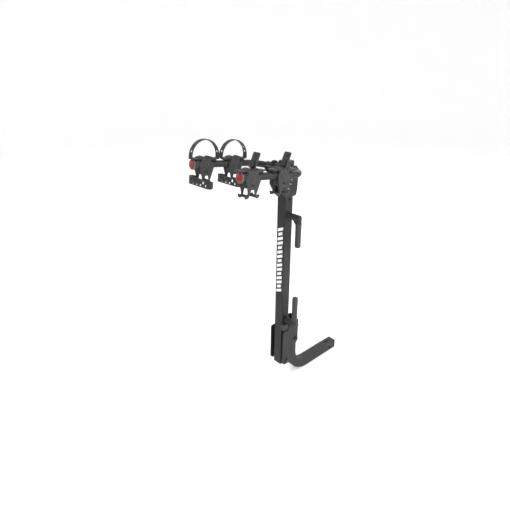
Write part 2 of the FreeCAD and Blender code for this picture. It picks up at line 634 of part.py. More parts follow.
def make_hub():
    make_hub_plate("hub_plate_right", "mast_half")
    make_hub_plate("hub_plate_left", "-mast_half-hub_thick")
    bolts, nuts = [], []
    for name, at in (("up", ("-hub_bolt_back", "hub_bolt_up")),
                     ("low", ("-hub_bolt_low_back", "hub_bolt_low_up"))):
        bolts.append(cross_bolt("hub_bolt_" + name, at, "hub_bolt_radius", HUB_FACE,
                                "hub_nut_length", "hub_hex_radius", "hub_head_length"))
        nuts.append(cross_nut("hub_nut_" + name, at, "hub_bolt_radius", HUB_FACE,
                              "hub_nut_length", "hub_hex_radius"))
    keep("hub_bolts", group("HubBoltGroup", bolts))
    keep("hub_nuts", group("HubNutGroup", nuts))

    bar = box("bail_bar", ("-bail_outer", "-bail_back", "bail_low"),
              ("bail_outer+bail_outer", "bail_back-bail_front", "bail_high-bail_low"))
    ears = []
    for side, start in (("right", "bail_inner"), ("left", "-bail_outer")):
        ear = new_body("bail_ear_" + side)
        sketch = new_sketch(ear, "YZ_Plane", start)
        outline(sketch, [("-bail_ear_back", "bail_high"), ("-bail_ear_back", "bail_knee_back"),
                         ("-bail_pivot_back-bail_ear", "bail_pivot_up"),
                         ("-bail_neck", "bail_pivot_up+bail_ear-1"),
                         ("-bail_front", "bail_knee_front"), ("-bail_front", "bail_high")])
        pad(ear, sketch, "bail_outer-bail_inner")
        tip = new_sketch(ear, "YZ_Plane", start)
        circle(tip, ("-bail_pivot_back", "bail_pivot_up"), "bail_ear")
        pad(ear, tip, "bail_outer-bail_inner")
        holes(ear, "YZ_Plane", "far_plane", [(("-bail_pivot_back", "bail_pivot_up"), "bail_bore")])
        ears.append(ear)
    keep("arm_release_bail", fuse("ReleaseBail", [bar] + ears))
    screws = []
    at = ("-bail_pivot_back", "bail_pivot_up")
    for side, start, head in (
            ("right", "mast_half", "bail_outer+bail_gap"),
            ("left", "-bail_outer-bail_gap", "-bail_outer-bail_gap-bail_head_length")):
        screws.append(fuse("bail_screw_" + side, [
            rod("bail_stem_" + side, "x", (start, *at), "bail_screw",
                "bail_outer+bail_gap-mast_half"),
            rod("bail_head_" + side, "x", (head, *at), "bail_head", "bail_head_length")]))
    keep("release_screws", group("ReleaseScrewGroup", screws))


# ---------------------------------------------------------------- arms
ARM_FRAME = Placement(Vector(0, -SIZES["axis_back"], SIZES["axis_up"]), Rotation(X_AXIS, -ARM_RISE))
SIDES = {"right": 1, "left": -1}


def make_arm(side, sign):
    body = new_body(side + "_arm_body")
    offset = "arm_end"
    profile = new_sketch(body, "XZ_Plane", offset)
    centre = ("arm_side" if sign > 0 else "-arm_side", "0")
    circle(profile, centre, "arm_radius")
    circle(profile, centre, "arm_radius-arm_wall")
    path = new_sketch(body, "XY_Plane")
    reach, bend = sign * amount("arm_side"), amount("arm_bend")
    elbow = reach - sign * bend
    quarter = math.pi / 2
    outer = path.addGeometry(Part.LineSegment(Vector(reach, -amount("arm_end"), 0),
                                              Vector(reach, -bend, 0)), False)
    sweep = (0, quarter) if sign > 0 else (quarter, 2 * quarter)
    turn = path.addGeometry(Part.ArcOfCircle(Part.Circle(Vector(elbow, -bend, 0), Z_AXIS, bend),
                                             *sweep), False)
    inner = path.addGeometry(Part.LineSegment(Vector(elbow, 0, 0),
                                              Vector(sign * amount("arm_join"), 0, 0)), False)
    near, far = (1, 2) if sign > 0 else (2, 1)
    for constraint in (("Tangent", outer, 2, turn, near), ("Tangent", turn, far, inner, 1),
                       ("Vertical", outer), ("Horizontal", inner),
                       ("PointOnObject", inner, 1, -1)):
        path.addConstraint(Sketcher.Constraint(*constraint))
    mark = "" if sign > 0 else "-"
    tie(path, "DistanceX", (-1, 1, outer, 1), mark + "arm_side")
    tie(path, "DistanceY", (-1, 1, outer, 1), "-arm_end")
    tie(path, "Radius", (turn,), "arm_bend")
    tie(path, "DistanceX", (-1, 1, inner, 2), mark + "arm_join")
    doc.recompute()
    tube = body.newObject("PartDesign::AdditivePipe", side + "_arm_tube")
    tube.Profile = profile
    tube.Spine = (path, ["Edge1", "Edge2", "Edge3"])
    doc.recompute()
    keep(side + "_arm", body, ARM_FRAME)
    middle = mark + "arm_side"
    outside = rod(side + "_cap_outside", "y", (middle, "-cap_face", "0"), "cap_radius",
                  f"cap_face-{side}_cap_root")
    hollow = rod(side + "_cap_hollow", "y", (middle, "-arm_end", "0"), "arm_radius", "arm_end")
    seat = rod(side + "_cap_seat", "y", (middle, "-cap_face", "0"), "lens_radius", "lens_seat")
    keep(side + "_arm_cap", cut(side + "_cap", outside, fuse(side + "_cap_tool", [hollow, seat])),
         ARM_FRAME)
    lens = rod(side + "_lens", "y", (middle, "-lens_face", "0"), "lens_radius",
               "lens_face-cap_face+lens_seat")
    keep(side + "_reflector", group(side + "_lens_group", [lens]), ARM_FRAME)


def make_cross_tube():
    keep("cross_tube", ring("CrossTube", "x", ("-cross_half", "0", "0"), "cross_radius",
                            "cross_bore", "cross_half+cross_half"), ARM_FRAME)


# ---------------------------------------------------------------- cradles
SKIRT = [
    ("-core_reach", "skirt_top"), ("core_reach", "skirt_top"), ("core_reach", "-skirt_waist"),
    ("ankle_reach", "-ankle_low"), ("heel_reach", "-foot_low"), ("toe_reach", "-foot_low"),
    ("arch_reach", "-arch_top"), ("-arch_reach", "-arch_top"), ("-toe_reach", "-foot_low"),
    ("-heel_reach", "-foot_low"), ("-ankle_reach", "-ankle_low"), ("-core_reach", "-skirt_waist")]


def make_cradle_body(name, place):
    body = new_body(name + "_solid")
    core = new_sketch(body, "XZ_Plane", "-core_reach")
    rectangle(core, ("-core_half", "-core_bottom"), ("core_half", "core_top"))
    pad(body, core, "core_reach+core_reach")
    half = amount("core_half")
    spots = [Vector(side * half, 0, -amount("core_bottom")) for side in (-1, 1)]
    fillet(body, Y_AXIS, spots, "core_corner")
    rail = new_sketch(body, "XY_Plane", "rail_low")
    rectangle(rail, ("-rail_half", "-rail_reach"), ("rail_half", "rail_reach"))
    pad(body, rail, "core_top-rail_low")
    for offset in ("skirt_inner", "-skirt_outer"):
        wall = new_sketch(body, "YZ_Plane", offset)
        outline(wall, SKIRT)
        pad(body, wall, "skirt_outer-skirt_inner")
    feet = new_sketch(body, "YZ_Plane", "-skirt_outer")
    for reach in ("foot_reach", "-foot_reach"):
        circle(feet, (reach, "-foot_low"), "foot_radius")
    pad(body, feet, "skirt_outer+skirt_outer")
    holes(body, "XZ_Plane", "far_plane", [(("0", "0"), "core_bore")])
    holes(body, "YZ_Plane", "far_plane", [(("0", "-clamp_screw_up"), "clamp_screw_radius")])
    keep(name + "_body", body, place)


def make_cradle_pad(name, place):
    block = box(name + "_pad_block", ("-pad_half", "-pad_reach", "core_top"),
                ("pad_half+pad_half", "pad_reach+pad_reach", "pad_height"))
    groove = rod(name + "_pad_groove", "x", ("-pad_half", "0", "groove_up"), "groove_radius",
                 "pad_half+pad_half")
    keep(name + "_pad", cut(name + "_pad_piece", block, groove), place)


def make_loop_strap(name, place):
    """Rubber strap closed over the bike's tube: upright sides and a round top."""
    body = new_body(name + "_strap_solid")
    sketch = new_sketch(body, "YZ_Plane", "-strap_half")
    up, foot = amount("strap_up"), amount("strap_foot")
    arcs = []
    for radius in ("strap_radius", "strap_radius-strap_thick"):
        reach = amount(radius)
        arc = sketch.addGeometry(Part.ArcOfCircle(Part.Circle(Vector(0, up, 0), Z_AXIS, reach),
                                                  0, math.pi), False)
        tie(sketch, "Radius", (arc,), radius)
        right = sketch.addGeometry(Part.LineSegment(Vector(reach, up, 0),
                                                    Vector(reach, foot, 0)), False)
        left = sketch.addGeometry(Part.LineSegment(Vector(-reach, up, 0),
                                                   Vector(-reach, foot, 0)), False)
        for constraint in (("Coincident", arc, 1, right, 1), ("Coincident", arc, 2, left, 1),
                           ("Vertical", right), ("Vertical", left)):
            sketch.addConstraint(Sketcher.Constraint(*constraint))
        tie(sketch, "DistanceX", (-1, 1, arc, 3), "0")
        tie(sketch, "DistanceY", (-1, 1, arc, 3), "strap_up")
        tie(sketch, "DistanceY", (-1, 1, right, 1), "strap_up")
        tie(sketch, "DistanceY", (-1, 1, left, 1), "strap_up")
        tie(sketch, "DistanceY", (-1, 1, right, 2), "strap_foot")
        tie(sketch, "DistanceY", (-1, 1, left, 2), "strap_foot")
        arcs.append((right, left))
    for outer, inner in zip(arcs[0], arcs[1]):
        ends = [sketch.getPoint(line, 2) for line in (outer, inner)]
        close = sketch.addGeometry(Part.LineSegment(Vector(ends[0]), Vector(ends[1])), False)
        sketch.addConstraint(Sketcher.Constraint("Coincident", outer, 2, close, 1))
        sketch.addConstraint(Sketcher.Constraint("Coincident", inner, 2, close, 2))
    pad(body, sketch, "strap_half+strap_half")
    holes(body, "XZ_Plane", "far_plane", [(("0", "strap_hole_low"), "strap_hole"),
                                    (("0", "strap_hole_high"), "strap_hole")])
    keep(name + "_strap", body, place)


# the open strap's tail stands on the pad and leans towards the mast
TAIL_FRAME = Placement(Vector(0, amount("tail_back"), amount("core_top+pad_height-tail_sink")),
                       Rotation(X_AXIS, -SIZES["tail_lean"]))


def make_tail_strap(name, place):
    """Rubber strap left open: a flat tail with two buckle slots."""
    block = box(name + "_tail_block", ("-tail_half", "0", "0"),
                ("tail_half+tail_half", "tail_thick", "tail_length"))
    slots = [box(f"{name}_tail_slot_{level}", ("-tail_slot_half", "-1", base),
                 ("tail_slot_half+tail_slot_half", "tail_thick+2", "tail_slot_height"))
             for level, base in (("low", "tail_slot_low"), ("high", "tail_slot_high"))]
    tail = cut(name + "_tail", block, fuse(name + "_tail_slots", slots))
    keep(name + "_strap", tail, place.multiply(TAIL_FRAME))


def make_sway_band(name, place):
    """Perforated rubber band that ties the bike's seat tube, held on the cradle's front feet."""
    body = new_body(name + "_band_solid")
    sketch = new_sketch(body, "XZ_Plane", "band_back-band_thick")
    rectangle(sketch, ("-band_out", "-band_low"), ("band_in", "-band_high"))
    pad(body, sketch, "band_thick")
    spots = [Vector(end, 0, -amount(level)) for end in (-amount("band_out"), amount("band_in"))
             for level in ("band_low", "band_high")]
    fillet(body, Y_AXIS, spots, "band_corner")
    holes(body, "XZ_Plane", "far_plane", [
        (("-band_hole_first" + "+band_hole_step" * column, "-" + row), "band_hole")
        for column in range(BAND_COLUMNS) for row in ("band_row_high", "band_row_low")])
    keep(name + "_sway_band", body, place)


def make_front_buckle(name, place):
    """Buckle plate on the cradle's front face, around the arm, under the rail and down
    between the skirts."""
    body = new_body(name + "_buckle_solid")
    sketch = new_sketch(body, "XZ_Plane", "core_reach")
    outline(sketch, [("-buckle_half", "-buckle_drop"), ("buckle_half", "-buckle_drop"),
                     ("buckle_half", "-buckle_step"), ("buckle_shoulder", "-buckle_step"),
                     ("buckle_shoulder", "rail_low"), ("-buckle_shoulder", "rail_low"),
                     ("-buckle_shoulder", "-buckle_step"), ("-buckle_half", "-buckle_step")])
    pad(body, sketch, "buckle_thick")
    half, drop = amount("buckle_half"), amount("buckle_drop")
    fillet(body, Y_AXIS, [Vector(side * half, 0, -drop) for side in (-1, 1)], "buckle_corner")
    holes(body, "XZ_Plane", "far_plane", [(("0", "0"), "core_bore+buckle_gap")])
    keep(name + "_buckle", body, place)


def make_hardware(name, place, with_boss):
    """Clamp screw below the arm, and the knob or boss that the strap hooks on."""
    stem = rod(name + "_screw_stem", "x", ("-skirt_outer", "0", "-clamp_screw_up"),
               "clamp_screw_radius", "skirt_outer+skirt_outer")
    heads = [rod(f"{name}_screw_head_{end}", "x", (start, "0", "-clamp_screw_up"),
                 "screw_head_radius", "screw_head_length")
             for end, start in (("right", "skirt_outer"), ("left", "-skirt_outer-screw_head_length"))]
    screw = fuse(name + "_screw", [stem] + heads)
    if with_boss:
        boss = rod(name + "_boss", "y", ("0", "-boss_length", "boss_rise"), "boss_radius",
                   "boss_length")
        knob = group(name + "_knob", [boss])
        knob.Placement = TAIL_FRAME
    else:
        knob = fuse(name + "_knob", [
            rod(name + "_knob_stem", "z", ("knob_side", "0", "core_top"), "knob_stem", "knob_rise"),
            rod(name + "_knob_head", "z", ("knob_side", "0", "core_top+knob_rise"), "knob_ball",
                "knob_height")])
    keep(name + "_hardware", group(name + "_hardware_group", [screw, knob]), place)


def make_cradles():
    for side, sign in SIDES.items():
        for station, out in CRADLE_STATIONS[side].items():
            name = f"{side}_cradle_{station}"
            spot = Placement(Vector(sign * SIZES["arm_side"], -out, 0), Rotation())
            place = ARM_FRAME.multiply(spot)
            make_cradle_body(name, place)
            make_cradle_pad(name, place)
            if side == "left":
                make_loop_strap(name, place)
                make_sway_band(name, place)
            else:
                make_tail_strap(name, place)
                make_front_buckle(name, place)
            make_hardware(name, place, side == "right")


make_shank()
make_bracket()
make_mast()
make_upper_handle()
make_tilt_lever()
make_hub()
make_cross_tube()
for side_name, side_sign in SIDES.items():
    make_arm(side_name, side_sign)
make_cradles()
doc.recompute()

# ---------------------------------------------------------------- check and write
for thing in doc.Objects:
    if "Invalid" in thing.State or "Error" in thing.State:
        raise RuntimeError(f"{thing.Label} failed: {thing.State}")
for name, thing in nodes.items():
    shape = thing.Shape
    if shape.isNull() or not shape.isValid() or not shape.Solids:
        raise RuntimeError(f"{name} has no valid solid")
    shape.exportStep(f"parts/{name}.step")
print(len(nodes), "nodes written")
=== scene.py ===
import json
import math
import bmesh
import bpy
from mathutils import Matrix, Vector


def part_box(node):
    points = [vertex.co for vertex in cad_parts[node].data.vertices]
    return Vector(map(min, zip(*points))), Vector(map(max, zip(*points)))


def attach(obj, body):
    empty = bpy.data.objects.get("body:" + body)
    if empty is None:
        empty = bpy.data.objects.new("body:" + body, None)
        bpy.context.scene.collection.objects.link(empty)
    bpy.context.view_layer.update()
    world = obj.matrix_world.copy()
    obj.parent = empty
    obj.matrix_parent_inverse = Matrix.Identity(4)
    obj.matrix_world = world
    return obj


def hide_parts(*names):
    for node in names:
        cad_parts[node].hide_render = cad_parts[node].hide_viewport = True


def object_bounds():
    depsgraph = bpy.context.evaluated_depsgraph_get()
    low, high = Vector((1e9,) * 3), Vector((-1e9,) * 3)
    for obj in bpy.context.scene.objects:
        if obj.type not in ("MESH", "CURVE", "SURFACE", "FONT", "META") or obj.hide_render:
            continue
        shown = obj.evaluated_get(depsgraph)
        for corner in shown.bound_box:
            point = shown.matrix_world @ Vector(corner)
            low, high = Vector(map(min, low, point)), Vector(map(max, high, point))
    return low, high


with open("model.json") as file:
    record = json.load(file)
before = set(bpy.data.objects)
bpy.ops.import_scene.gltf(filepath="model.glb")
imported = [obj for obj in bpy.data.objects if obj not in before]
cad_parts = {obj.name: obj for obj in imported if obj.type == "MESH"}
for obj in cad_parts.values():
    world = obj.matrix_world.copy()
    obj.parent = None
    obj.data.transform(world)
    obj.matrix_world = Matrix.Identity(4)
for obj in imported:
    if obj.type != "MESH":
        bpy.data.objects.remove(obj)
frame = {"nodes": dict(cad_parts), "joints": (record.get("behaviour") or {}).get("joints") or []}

nodes = frame["nodes"]
joints = {joint["name"]: joint for joint in frame["joints"]}
scene = bpy.context.scene
cad_low, cad_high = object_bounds()

# ---------------------------------------------------------------- studio
# A pale seamless sweep under and round the rack, lit by large soft panels. The key panel is on
# the right, so the tubes' right hand faces are a shade lighter than their rear faces.
SWEEP_FLAT = 9.0
SWEEP_CURVE = 5.0
SWEEP_WALL = 6.0
PANELS = {                      # place, aim, width, height, power
    "key": ((3.6, -0.4, 2.2), (0.0, -0.4, 0.6), 2.4, 2.4, 150.0),
    "fill": ((-2.6, -3.0, 2.2), (0.0, -0.4, 0.6), 2.5, 2.5, 6.0),
    "rim": ((-1.2, 3.2, 2.8), (0.0, -0.4, 0.7), 2.6, 1.8, 40.0),
    "top": ((0.2, -0.6, 4.2), (0.0, -0.4, 0.0), 3.0, 3.0, 18.0)}
CAMERA_PLACE = (1.23389, -1.66866, 1.49024)
CAMERA_AZIMUTH = 48.138
CAMERA_ELEVATION = 24.0685
CAMERA_LENS = 29.36
PAPER_SHADE = 0.93
PAPER_ROUGHNESS = 0.9
WORLD_STRENGTH = 1.12
MERGE_GAP = 1e-6


def aimed(thing, place, back):
    thing.location = place
    thing.rotation_euler = back.to_track_quat("Z", "Y").to_euler()
    scene.collection.objects.link(thing)


def turned(profile, steps=48):
    """Surface of revolution about Z. The profile is a list of (radius, height)."""
    bm = bmesh.new()
    rim = [bm.verts.new((radius, 0, height)) for radius, height in profile]
    edges = [bm.edges.new(pair) for pair in zip(rim, rim[1:])]
    bmesh.ops.spin(bm, geom=rim + edges, cent=(0, 0, 0), axis=(0, 0, 1), angle=2 * math.pi,
                   steps=steps, use_merge=True)
    bmesh.ops.remove_doubles(bm, verts=bm.verts, dist=MERGE_GAP)
    return bm


sweep_profile = [(0.0, 0.0), (SWEEP_FLAT, 0.0)]
for step in range(1, 13):
    turn = math.radians(90 * step / 12)
    sweep_profile.append((SWEEP_FLAT + SWEEP_CURVE * math.sin(turn),
                          SWEEP_CURVE * (1 - math.cos(turn))))
sweep_profile.append((SWEEP_FLAT + SWEEP_CURVE, SWEEP_CURVE + SWEEP_WALL))
sweep_mesh = bpy.data.meshes.new("sweep")
sweep_bm = turned(sweep_profile, 64)
bmesh.ops.translate(sweep_bm, vec=(0, 0, cad_low.z), verts=sweep_bm.verts)
for face in sweep_bm.faces:
    face.smooth = True
sweep_bm.to_mesh(sweep_mesh)
sweep_bm.free()
sweep = bpy.data.objects.new("sweep", sweep_mesh)
scene.collection.objects.link(sweep)
paper = bpy.data.materials.new("pale_paper")
paper.use_nodes = True
paper_surface = paper.node_tree.nodes["Principled BSDF"]
paper_surface.inputs["Base Color"].default_value = (PAPER_SHADE, PAPER_SHADE, PAPER_SHADE, 1)
paper_surface.inputs["Roughness"].default_value = PAPER_ROUGHNESS
sweep_mesh.materials.append(paper)

world = bpy.data.worlds.new("studio")
world.use_nodes = True
backdrop = world.node_tree.nodes["Background"]
backdrop.inputs["Color"].default_value = (1, 1, 1, 1)
backdrop.inputs["Strength"].default_value = WORLD_STRENGTH
scene.world = world
scene.view_settings.view_transform = "Standard"

for panel_name, (place, aim, width, height, power) in PANELS.items():
    panel = bpy.data.lights.new(panel_name, "AREA")
    panel.shape = "RECTANGLE"
    panel.size = width
    panel.size_y = height
    panel.energy = power
    aimed(bpy.data.objects.new(panel_name, panel), place, Vector(place) - Vector(aim))

lens = bpy.data.cameras.new("view")
lens.sensor_width = 36.0
lens.lens = CAMERA_LENS
camera = bpy.data.objects.new("view", lens)
turn, rise = math.radians(CAMERA_AZIMUTH), math.radians(CAMERA_ELEVATION)
aimed(camera, CAMERA_PLACE, Vector((math.sin(turn) * math.cos(rise),
                                    -math.cos(turn) * math.cos(rise), math.sin(rise))))
scene.camera = camera


# ---------------------------------------------------------------- coated steel tubes and plates
# Shank, bracket, mast, hub and arms are mild steel, welded or bent, then powder coated satin
# black. The coat has a fine orange peel, and it is rubbed a little lighter along every edge.
def node(tree, kind, inputs=None, **settings):
    """Shader node whose inputs are values or other nodes' outputs."""
    made = tree.nodes.new(kind)
    for name, value in settings.items():
        setattr(made, name, value)
    for name, value in (inputs or {}).items():
        if isinstance(value, bpy.types.NodeSocket):
            tree.links.new(value, made.inputs[name])
        else:
            made.inputs[name].default_value = value
    return made


def new_group(name, inputs, outputs):
    tree = bpy.data.node_groups.new(name, "ShaderNodeTree")
    for label, value in inputs.items():
        socket = tree.interface.new_socket(label, in_out="INPUT", socket_type="NodeSocketFloat")
        socket.default_value = value
    for label in outputs:
        tree.interface.new_socket(label, in_out="OUTPUT", socket_type="NodeSocketFloat")
    return tree, tree.nodes.new("NodeGroupInput"), tree.nodes.new("NodeGroupOutput")


def build_grain():
    """Height of a fine pebbled skin, and a slow change of tone across the surface."""
    tree, taken, given = new_group("surface_grain", {"Scale": 900.0, "Tone Scale": 14.0},
                                   ["Height", "Tone"])
    where = node(tree, "ShaderNodeTexCoord").outputs["Object"]
    fine = node(tree, "ShaderNodeTexNoise", {"Vector": where, "Scale": taken.outputs["Scale"],
                                             "Detail": 3.0, "Roughness": 0.55})
    cells = node(tree, "ShaderNodeTexVoronoi", {"Vector": where,
                                                "Scale": taken.outputs["Scale"]},
                 feature="SMOOTH_F1")
    both = node(tree, "ShaderNodeMath", {0: fine.outputs["Fac"], 1: cells.outputs["Distance"]},
                operation="ADD")
    slow = node(tree, "ShaderNodeTexNoise", {"Vector": where,
                                             "Scale": taken.outputs["Tone Scale"],
                                             "Detail": 5.0, "Roughness": 0.62})
    tree.links.new(both.outputs["Value"], given.inputs["Height"])
    tree.links.new(slow.outputs["Fac"], given.inputs["Tone"])
    return tree


def build_edge_wear():
    """Mask along the outer edges, broken up so that the rub isn't even."""
    tree, taken, given = new_group("edge_rub", {"Radius": 0.002, "Scale": 120.0}, ["Mask"])
    rounded = node(tree, "ShaderNodeBevel", {"Radius": taken.outputs["Radius"]}, samples=4)
    flat = node(tree, "ShaderNodeNewGeometry")
    match = node(tree, "ShaderNodeVectorMath", {0: rounded.outputs["Normal"],
                                                1: flat.outputs["Normal"]},
                 operation="DOT_PRODUCT")
    edge = node(tree, "ShaderNodeMapRange", {"Value": match.outputs["Value"], "From Min": 0.995,
                                             "From Max": 0.80, "To Min": 0.0, "To Max": 1.0})
    where = node(tree, "ShaderNodeTexCoord").outputs["Object"]
    patch = node(tree, "ShaderNodeTexNoise", {"Vector": where, "Scale": taken.outputs["Scale"],
                                              "Detail": 4.0, "Roughness": 0.7})
    spots = node(tree, "ShaderNodeMapRange", {"Value": patch.outputs["Fac"], "From Min": 0.38,
                                              "From Max": 0.62})
    mask = node(tree, "ShaderNodeMath", {0: edge.outputs["Result"], 1: spots.outputs["Result"]},
                operation="MULTIPLY", use_clamp=True)
    tree.links.new(mask.outputs["Value"], given.inputs["Mask"])
    return tree


def build_dust():
    """Mask of the thin dust that settles on faces turned up."""
    tree, taken, given = new_group("settled_dust", {"Scale": 60.0}, ["Mask"])
    place = node(tree, "ShaderNodeTexCoord")
    parts = node(tree, "ShaderNodeSeparateXYZ", {"Vector": place.outputs["Normal"]})
    upward = node(tree, "ShaderNodeMapRange", {"Value": parts.outputs["Z"], "From Min": 0.35,
                                               "From Max": 1.0})
    cloud = node(tree, "ShaderNodeTexNoise", {"Vector": place.outputs["Object"],
                                              "Scale": taken.outputs["Scale"], "Detail": 6.0,
                                              "Roughness": 0.7})
    thin = node(tree, "ShaderNodeMapRange", {"Value": cloud.outputs["Fac"], "From Min": 0.35,
                                             "From Max": 0.75})
    mask = node(tree, "ShaderNodeMath", {0: upward.outputs["Result"], 1: thin.outputs["Result"]},
                operation="MULTIPLY", use_clamp=True)
    tree.links.new(mask.outputs["Value"], given.inputs["Mask"])
    return tree


GRAIN, EDGE_RUB, DUST = build_grain(), build_edge_wear(), build_dust()
DUST_COLOUR = (0.42, 0.40, 0.37, 1)
TONE_SCALE = 14.0
ROUGHNESS_SWING = 0.06
SOFT_EDGE_ANGLE = math.radians(50)


def grained(name, colour, roughness, grain_scale, grain_depth, tone=0.25, rub=None, rub_share=0.0,
            dust=0.0, metallic=0.0, rub_radius=0.0015, **shader):
    """Material with a pebbled skin, uneven tone, rubbed edges and a little dust."""
    material = bpy.data.materials.new(name)
    material.use_nodes = True
    tree = material.node_tree
    surface = tree.nodes["Principled BSDF"]
    skin = node(tree, "ShaderNodeGroup", node_tree=GRAIN)
    skin.inputs["Scale"].default_value = grain_scale
    skin.inputs["Tone Scale"].default_value = TONE_SCALE
    shades = [tuple(channel * (1 + shift) for channel in colour) + (1,) for shift in (-tone, tone)]
    base = node(tree, "ShaderNodeMix", {0: skin.outputs["Tone"], 6: shades[0], 7: shades[1]},
                data_type="RGBA").outputs[2]
    rough = node(tree, "ShaderNodeMapRange", {
        "Value": skin.outputs["Tone"], "From Min": 0.3, "From Max": 0.7,
        "To Min": roughness - ROUGHNESS_SWING,
        "To Max": roughness + ROUGHNESS_SWING}).outputs["Result"]
    if rub:
        edges = node(tree, "ShaderNodeGroup", node_tree=EDGE_RUB)
        edges.inputs["Radius"].default_value = rub_radius
        share = node(tree, "ShaderNodeMath", {0: edges.outputs["Mask"], 1: rub_share},
                     operation="MULTIPLY").outputs["Value"]
        base = node(tree, "ShaderNodeMix", {0: share, 6: base, 7: (*rub, 1)},
                    data_type="RGBA").outputs[2]
        rough = node(tree, "ShaderNodeMath", {0: rough, 1: share}, operation="SUBTRACT",
                     use_clamp=True).outputs["Value"]
    if dust:
        film = node(tree, "ShaderNodeGroup", node_tree=DUST)
        share = node(tree, "ShaderNodeMath", {0: film.outputs["Mask"], 1: dust},
                     operation="MULTIPLY").outputs["Value"]
        base = node(tree, "ShaderNodeMix", {0: share, 6: base, 7: DUST_COLOUR},
                    data_type="RGBA").outputs[2]
    bump = node(tree, "ShaderNodeBump", {"Height": skin.outputs["Height"], "Strength": 1.0,
                                         "Distance": grain_depth})
    tree.links.new(base, surface.inputs["Base Color"])
    tree.links.new(rough, surface.inputs["Roughness"])
    tree.links.new(bump.outputs["Normal"], surface.inputs["Normal"])
    surface.inputs["Metallic"].default_value = metallic
    for socket, value in shader.items():
        surface.inputs[socket.replace("_", " ")].default_value = value
    return material


powder_coat = grained("powder_coat", (0.0175, 0.0160, 0.0158), 0.52, 750.0, 0.00012, tone=0.22,
                      rub=(0.13, 0.13, 0.13), rub_share=0.4, dust=0.03,
                      Specular_IOR_Level=0.25)


def coat(piece, material):
    piece.data.materials.clear()
    piece.data.materials.append(material)


def soften(piece, width, segments=2):
    """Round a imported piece's sharp edges where a press, a saw or a mould leaves them round."""
    weld = piece.modifiers.new("weld", "WELD")
    weld.merge_threshold = MERGE_GAP
    bevel = piece.modifiers.new("edges", "BEVEL")
    bevel.width = width
    bevel.segments = segments
    bevel.limit_method = "ANGLE"
    bevel.angle_limit = SOFT_EDGE_ANGLE
    bevel.harden_normals = True


STEEL_EDGES = {"hitch_shank": 0.0008, "bracket_plate_left": 0.0008, "bracket_plate_right": 0.0008,
               "bracket_web": 0.0008, "mast_tube": 0.0005, "hub_plate_left": 0.0010,
               "hub_plate_right": 0.0010, "cross_tube": 0.0012, "left_arm": 0.0004,
               "right_arm": 0.0004, "arm_release_bail": 0.0006}
for steel_name, edge_width in STEEL_EDGES.items():
    coat(nodes[steel_name], powder_coat)
    soften(nodes[steel_name], edge_width)


# ---------------------------------------------------------------- bolts, nuts, pins and spacers
# Hexagon bolts and nuts are forged and rolled, then black zinc plated, as the pawl is. Spacers are
# turned from bar and bright plated. Each head sits on a washer of its own.
black_zinc = grained("black_zinc", (0.030, 0.029, 0.028), 0.42, 1500.0, 0.00003, tone=0.3,
                     rub=(0.32, 0.31, 0.30), rub_share=0.5, metallic=0.6, rub_radius=0.0008)
plated_steel = grained("plated_steel", (0.46, 0.46, 0.47), 0.30, 1800.0, 0.00002, tone=0.12,
                       rub=(0.62, 0.62, 0.62), rub_share=0.5, dust=0.1, metallic=1.0)
spring_steel = grained("spring_steel", (0.16, 0.155, 0.15), 0.34, 2200.0, 0.00001, tone=0.2,
                       metallic=0.9)
BLACK_FASTENERS = ["bracket_bolts", "bracket_nuts", "tilt_pivot_bolt", "tilt_pivot_nut",
                   "handle_bolt", "hub_bolts", "hub_nuts", "release_screws", "tilt_lever_nut",
                   "striker_pin", "lock_pawl"]
FASTENER_EDGE = 0.0009
SPACER_EDGE = 0.0006
M12_BOLT = (0.006, 0.0135)      # thread radius, washer radius
M10_BOLT = (0.005, 0.0115)
WASHER_THICK = 0.0012
THREAD_PITCH = 0.0015
THREAD_SHOWN = 0.0035
THREAD_ROOT_SHARE = 0.86
for fastener in BLACK_FASTENERS:
    coat(nodes[fastener], black_zinc)
    soften(nodes[fastener], FASTENER_EDGE)
for plated in ("bracket_spacers", "tilt_pivot_spacers"):
    coat(nodes[plated], plated_steel)
    soften(nodes[plated], SPACER_EDGE)
coat(nodes["lever_spring"], spring_steel)


def placed(bm, matrix):
    bmesh.ops.transform(bm, matrix=matrix, verts=bm.verts)
    return bm


def joined(parts):
    """One bmesh that holds copies of several, whose own are freed."""
    whole = bmesh.new()
    for part in parts:
        mesh = bpy.data.meshes.new("part")
        part.to_mesh(mesh)
        part.free()
        whole.from_mesh(mesh)
        bpy.data.meshes.remove(mesh)
    return whole


def make_piece(name, bm, body, slot, material, replaced=(), place=None, sharp=38, clean=True):
    """Finished piece of the rack: its mesh in place, its shading and its body. The slot is not
    used.
    """
    if place is not None:
        placed(bm, place)
    if clean:
        bmesh.ops.remove_doubles(bm, verts=bm.verts, dist=2 * MERGE_GAP)
    bmesh.ops.recalc_face_normals(bm, faces=bm.faces)
    mesh = bpy.data.meshes.new(name)
    for face in bm.faces:
        face.smooth = True
    bm.to_mesh(mesh)
    bm.free()
    mesh.set_sharp_from_angle(angle=math.radians(sharp))
    mesh.materials.append(material)
    piece = bpy.data.objects.new(name, mesh)
    scene.collection.objects.link(piece)
    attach(piece, body)
    if replaced:
        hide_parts(*replaced)
    return piece


ALONG_X = Matrix.Rotation(math.radians(90), 4, "Y")


def washer(hole, outer, thick):
    """Flat ring about X that starts at x = 0, with round edges."""
    edge = thick / 4
    ring = turned([(hole, 0), (outer - edge, 0), (outer, edge), (outer, thick - edge),
                   (outer - edge, thick), (hole, thick), (hole, 0)], 32)
    return placed(ring, ALONG_X)


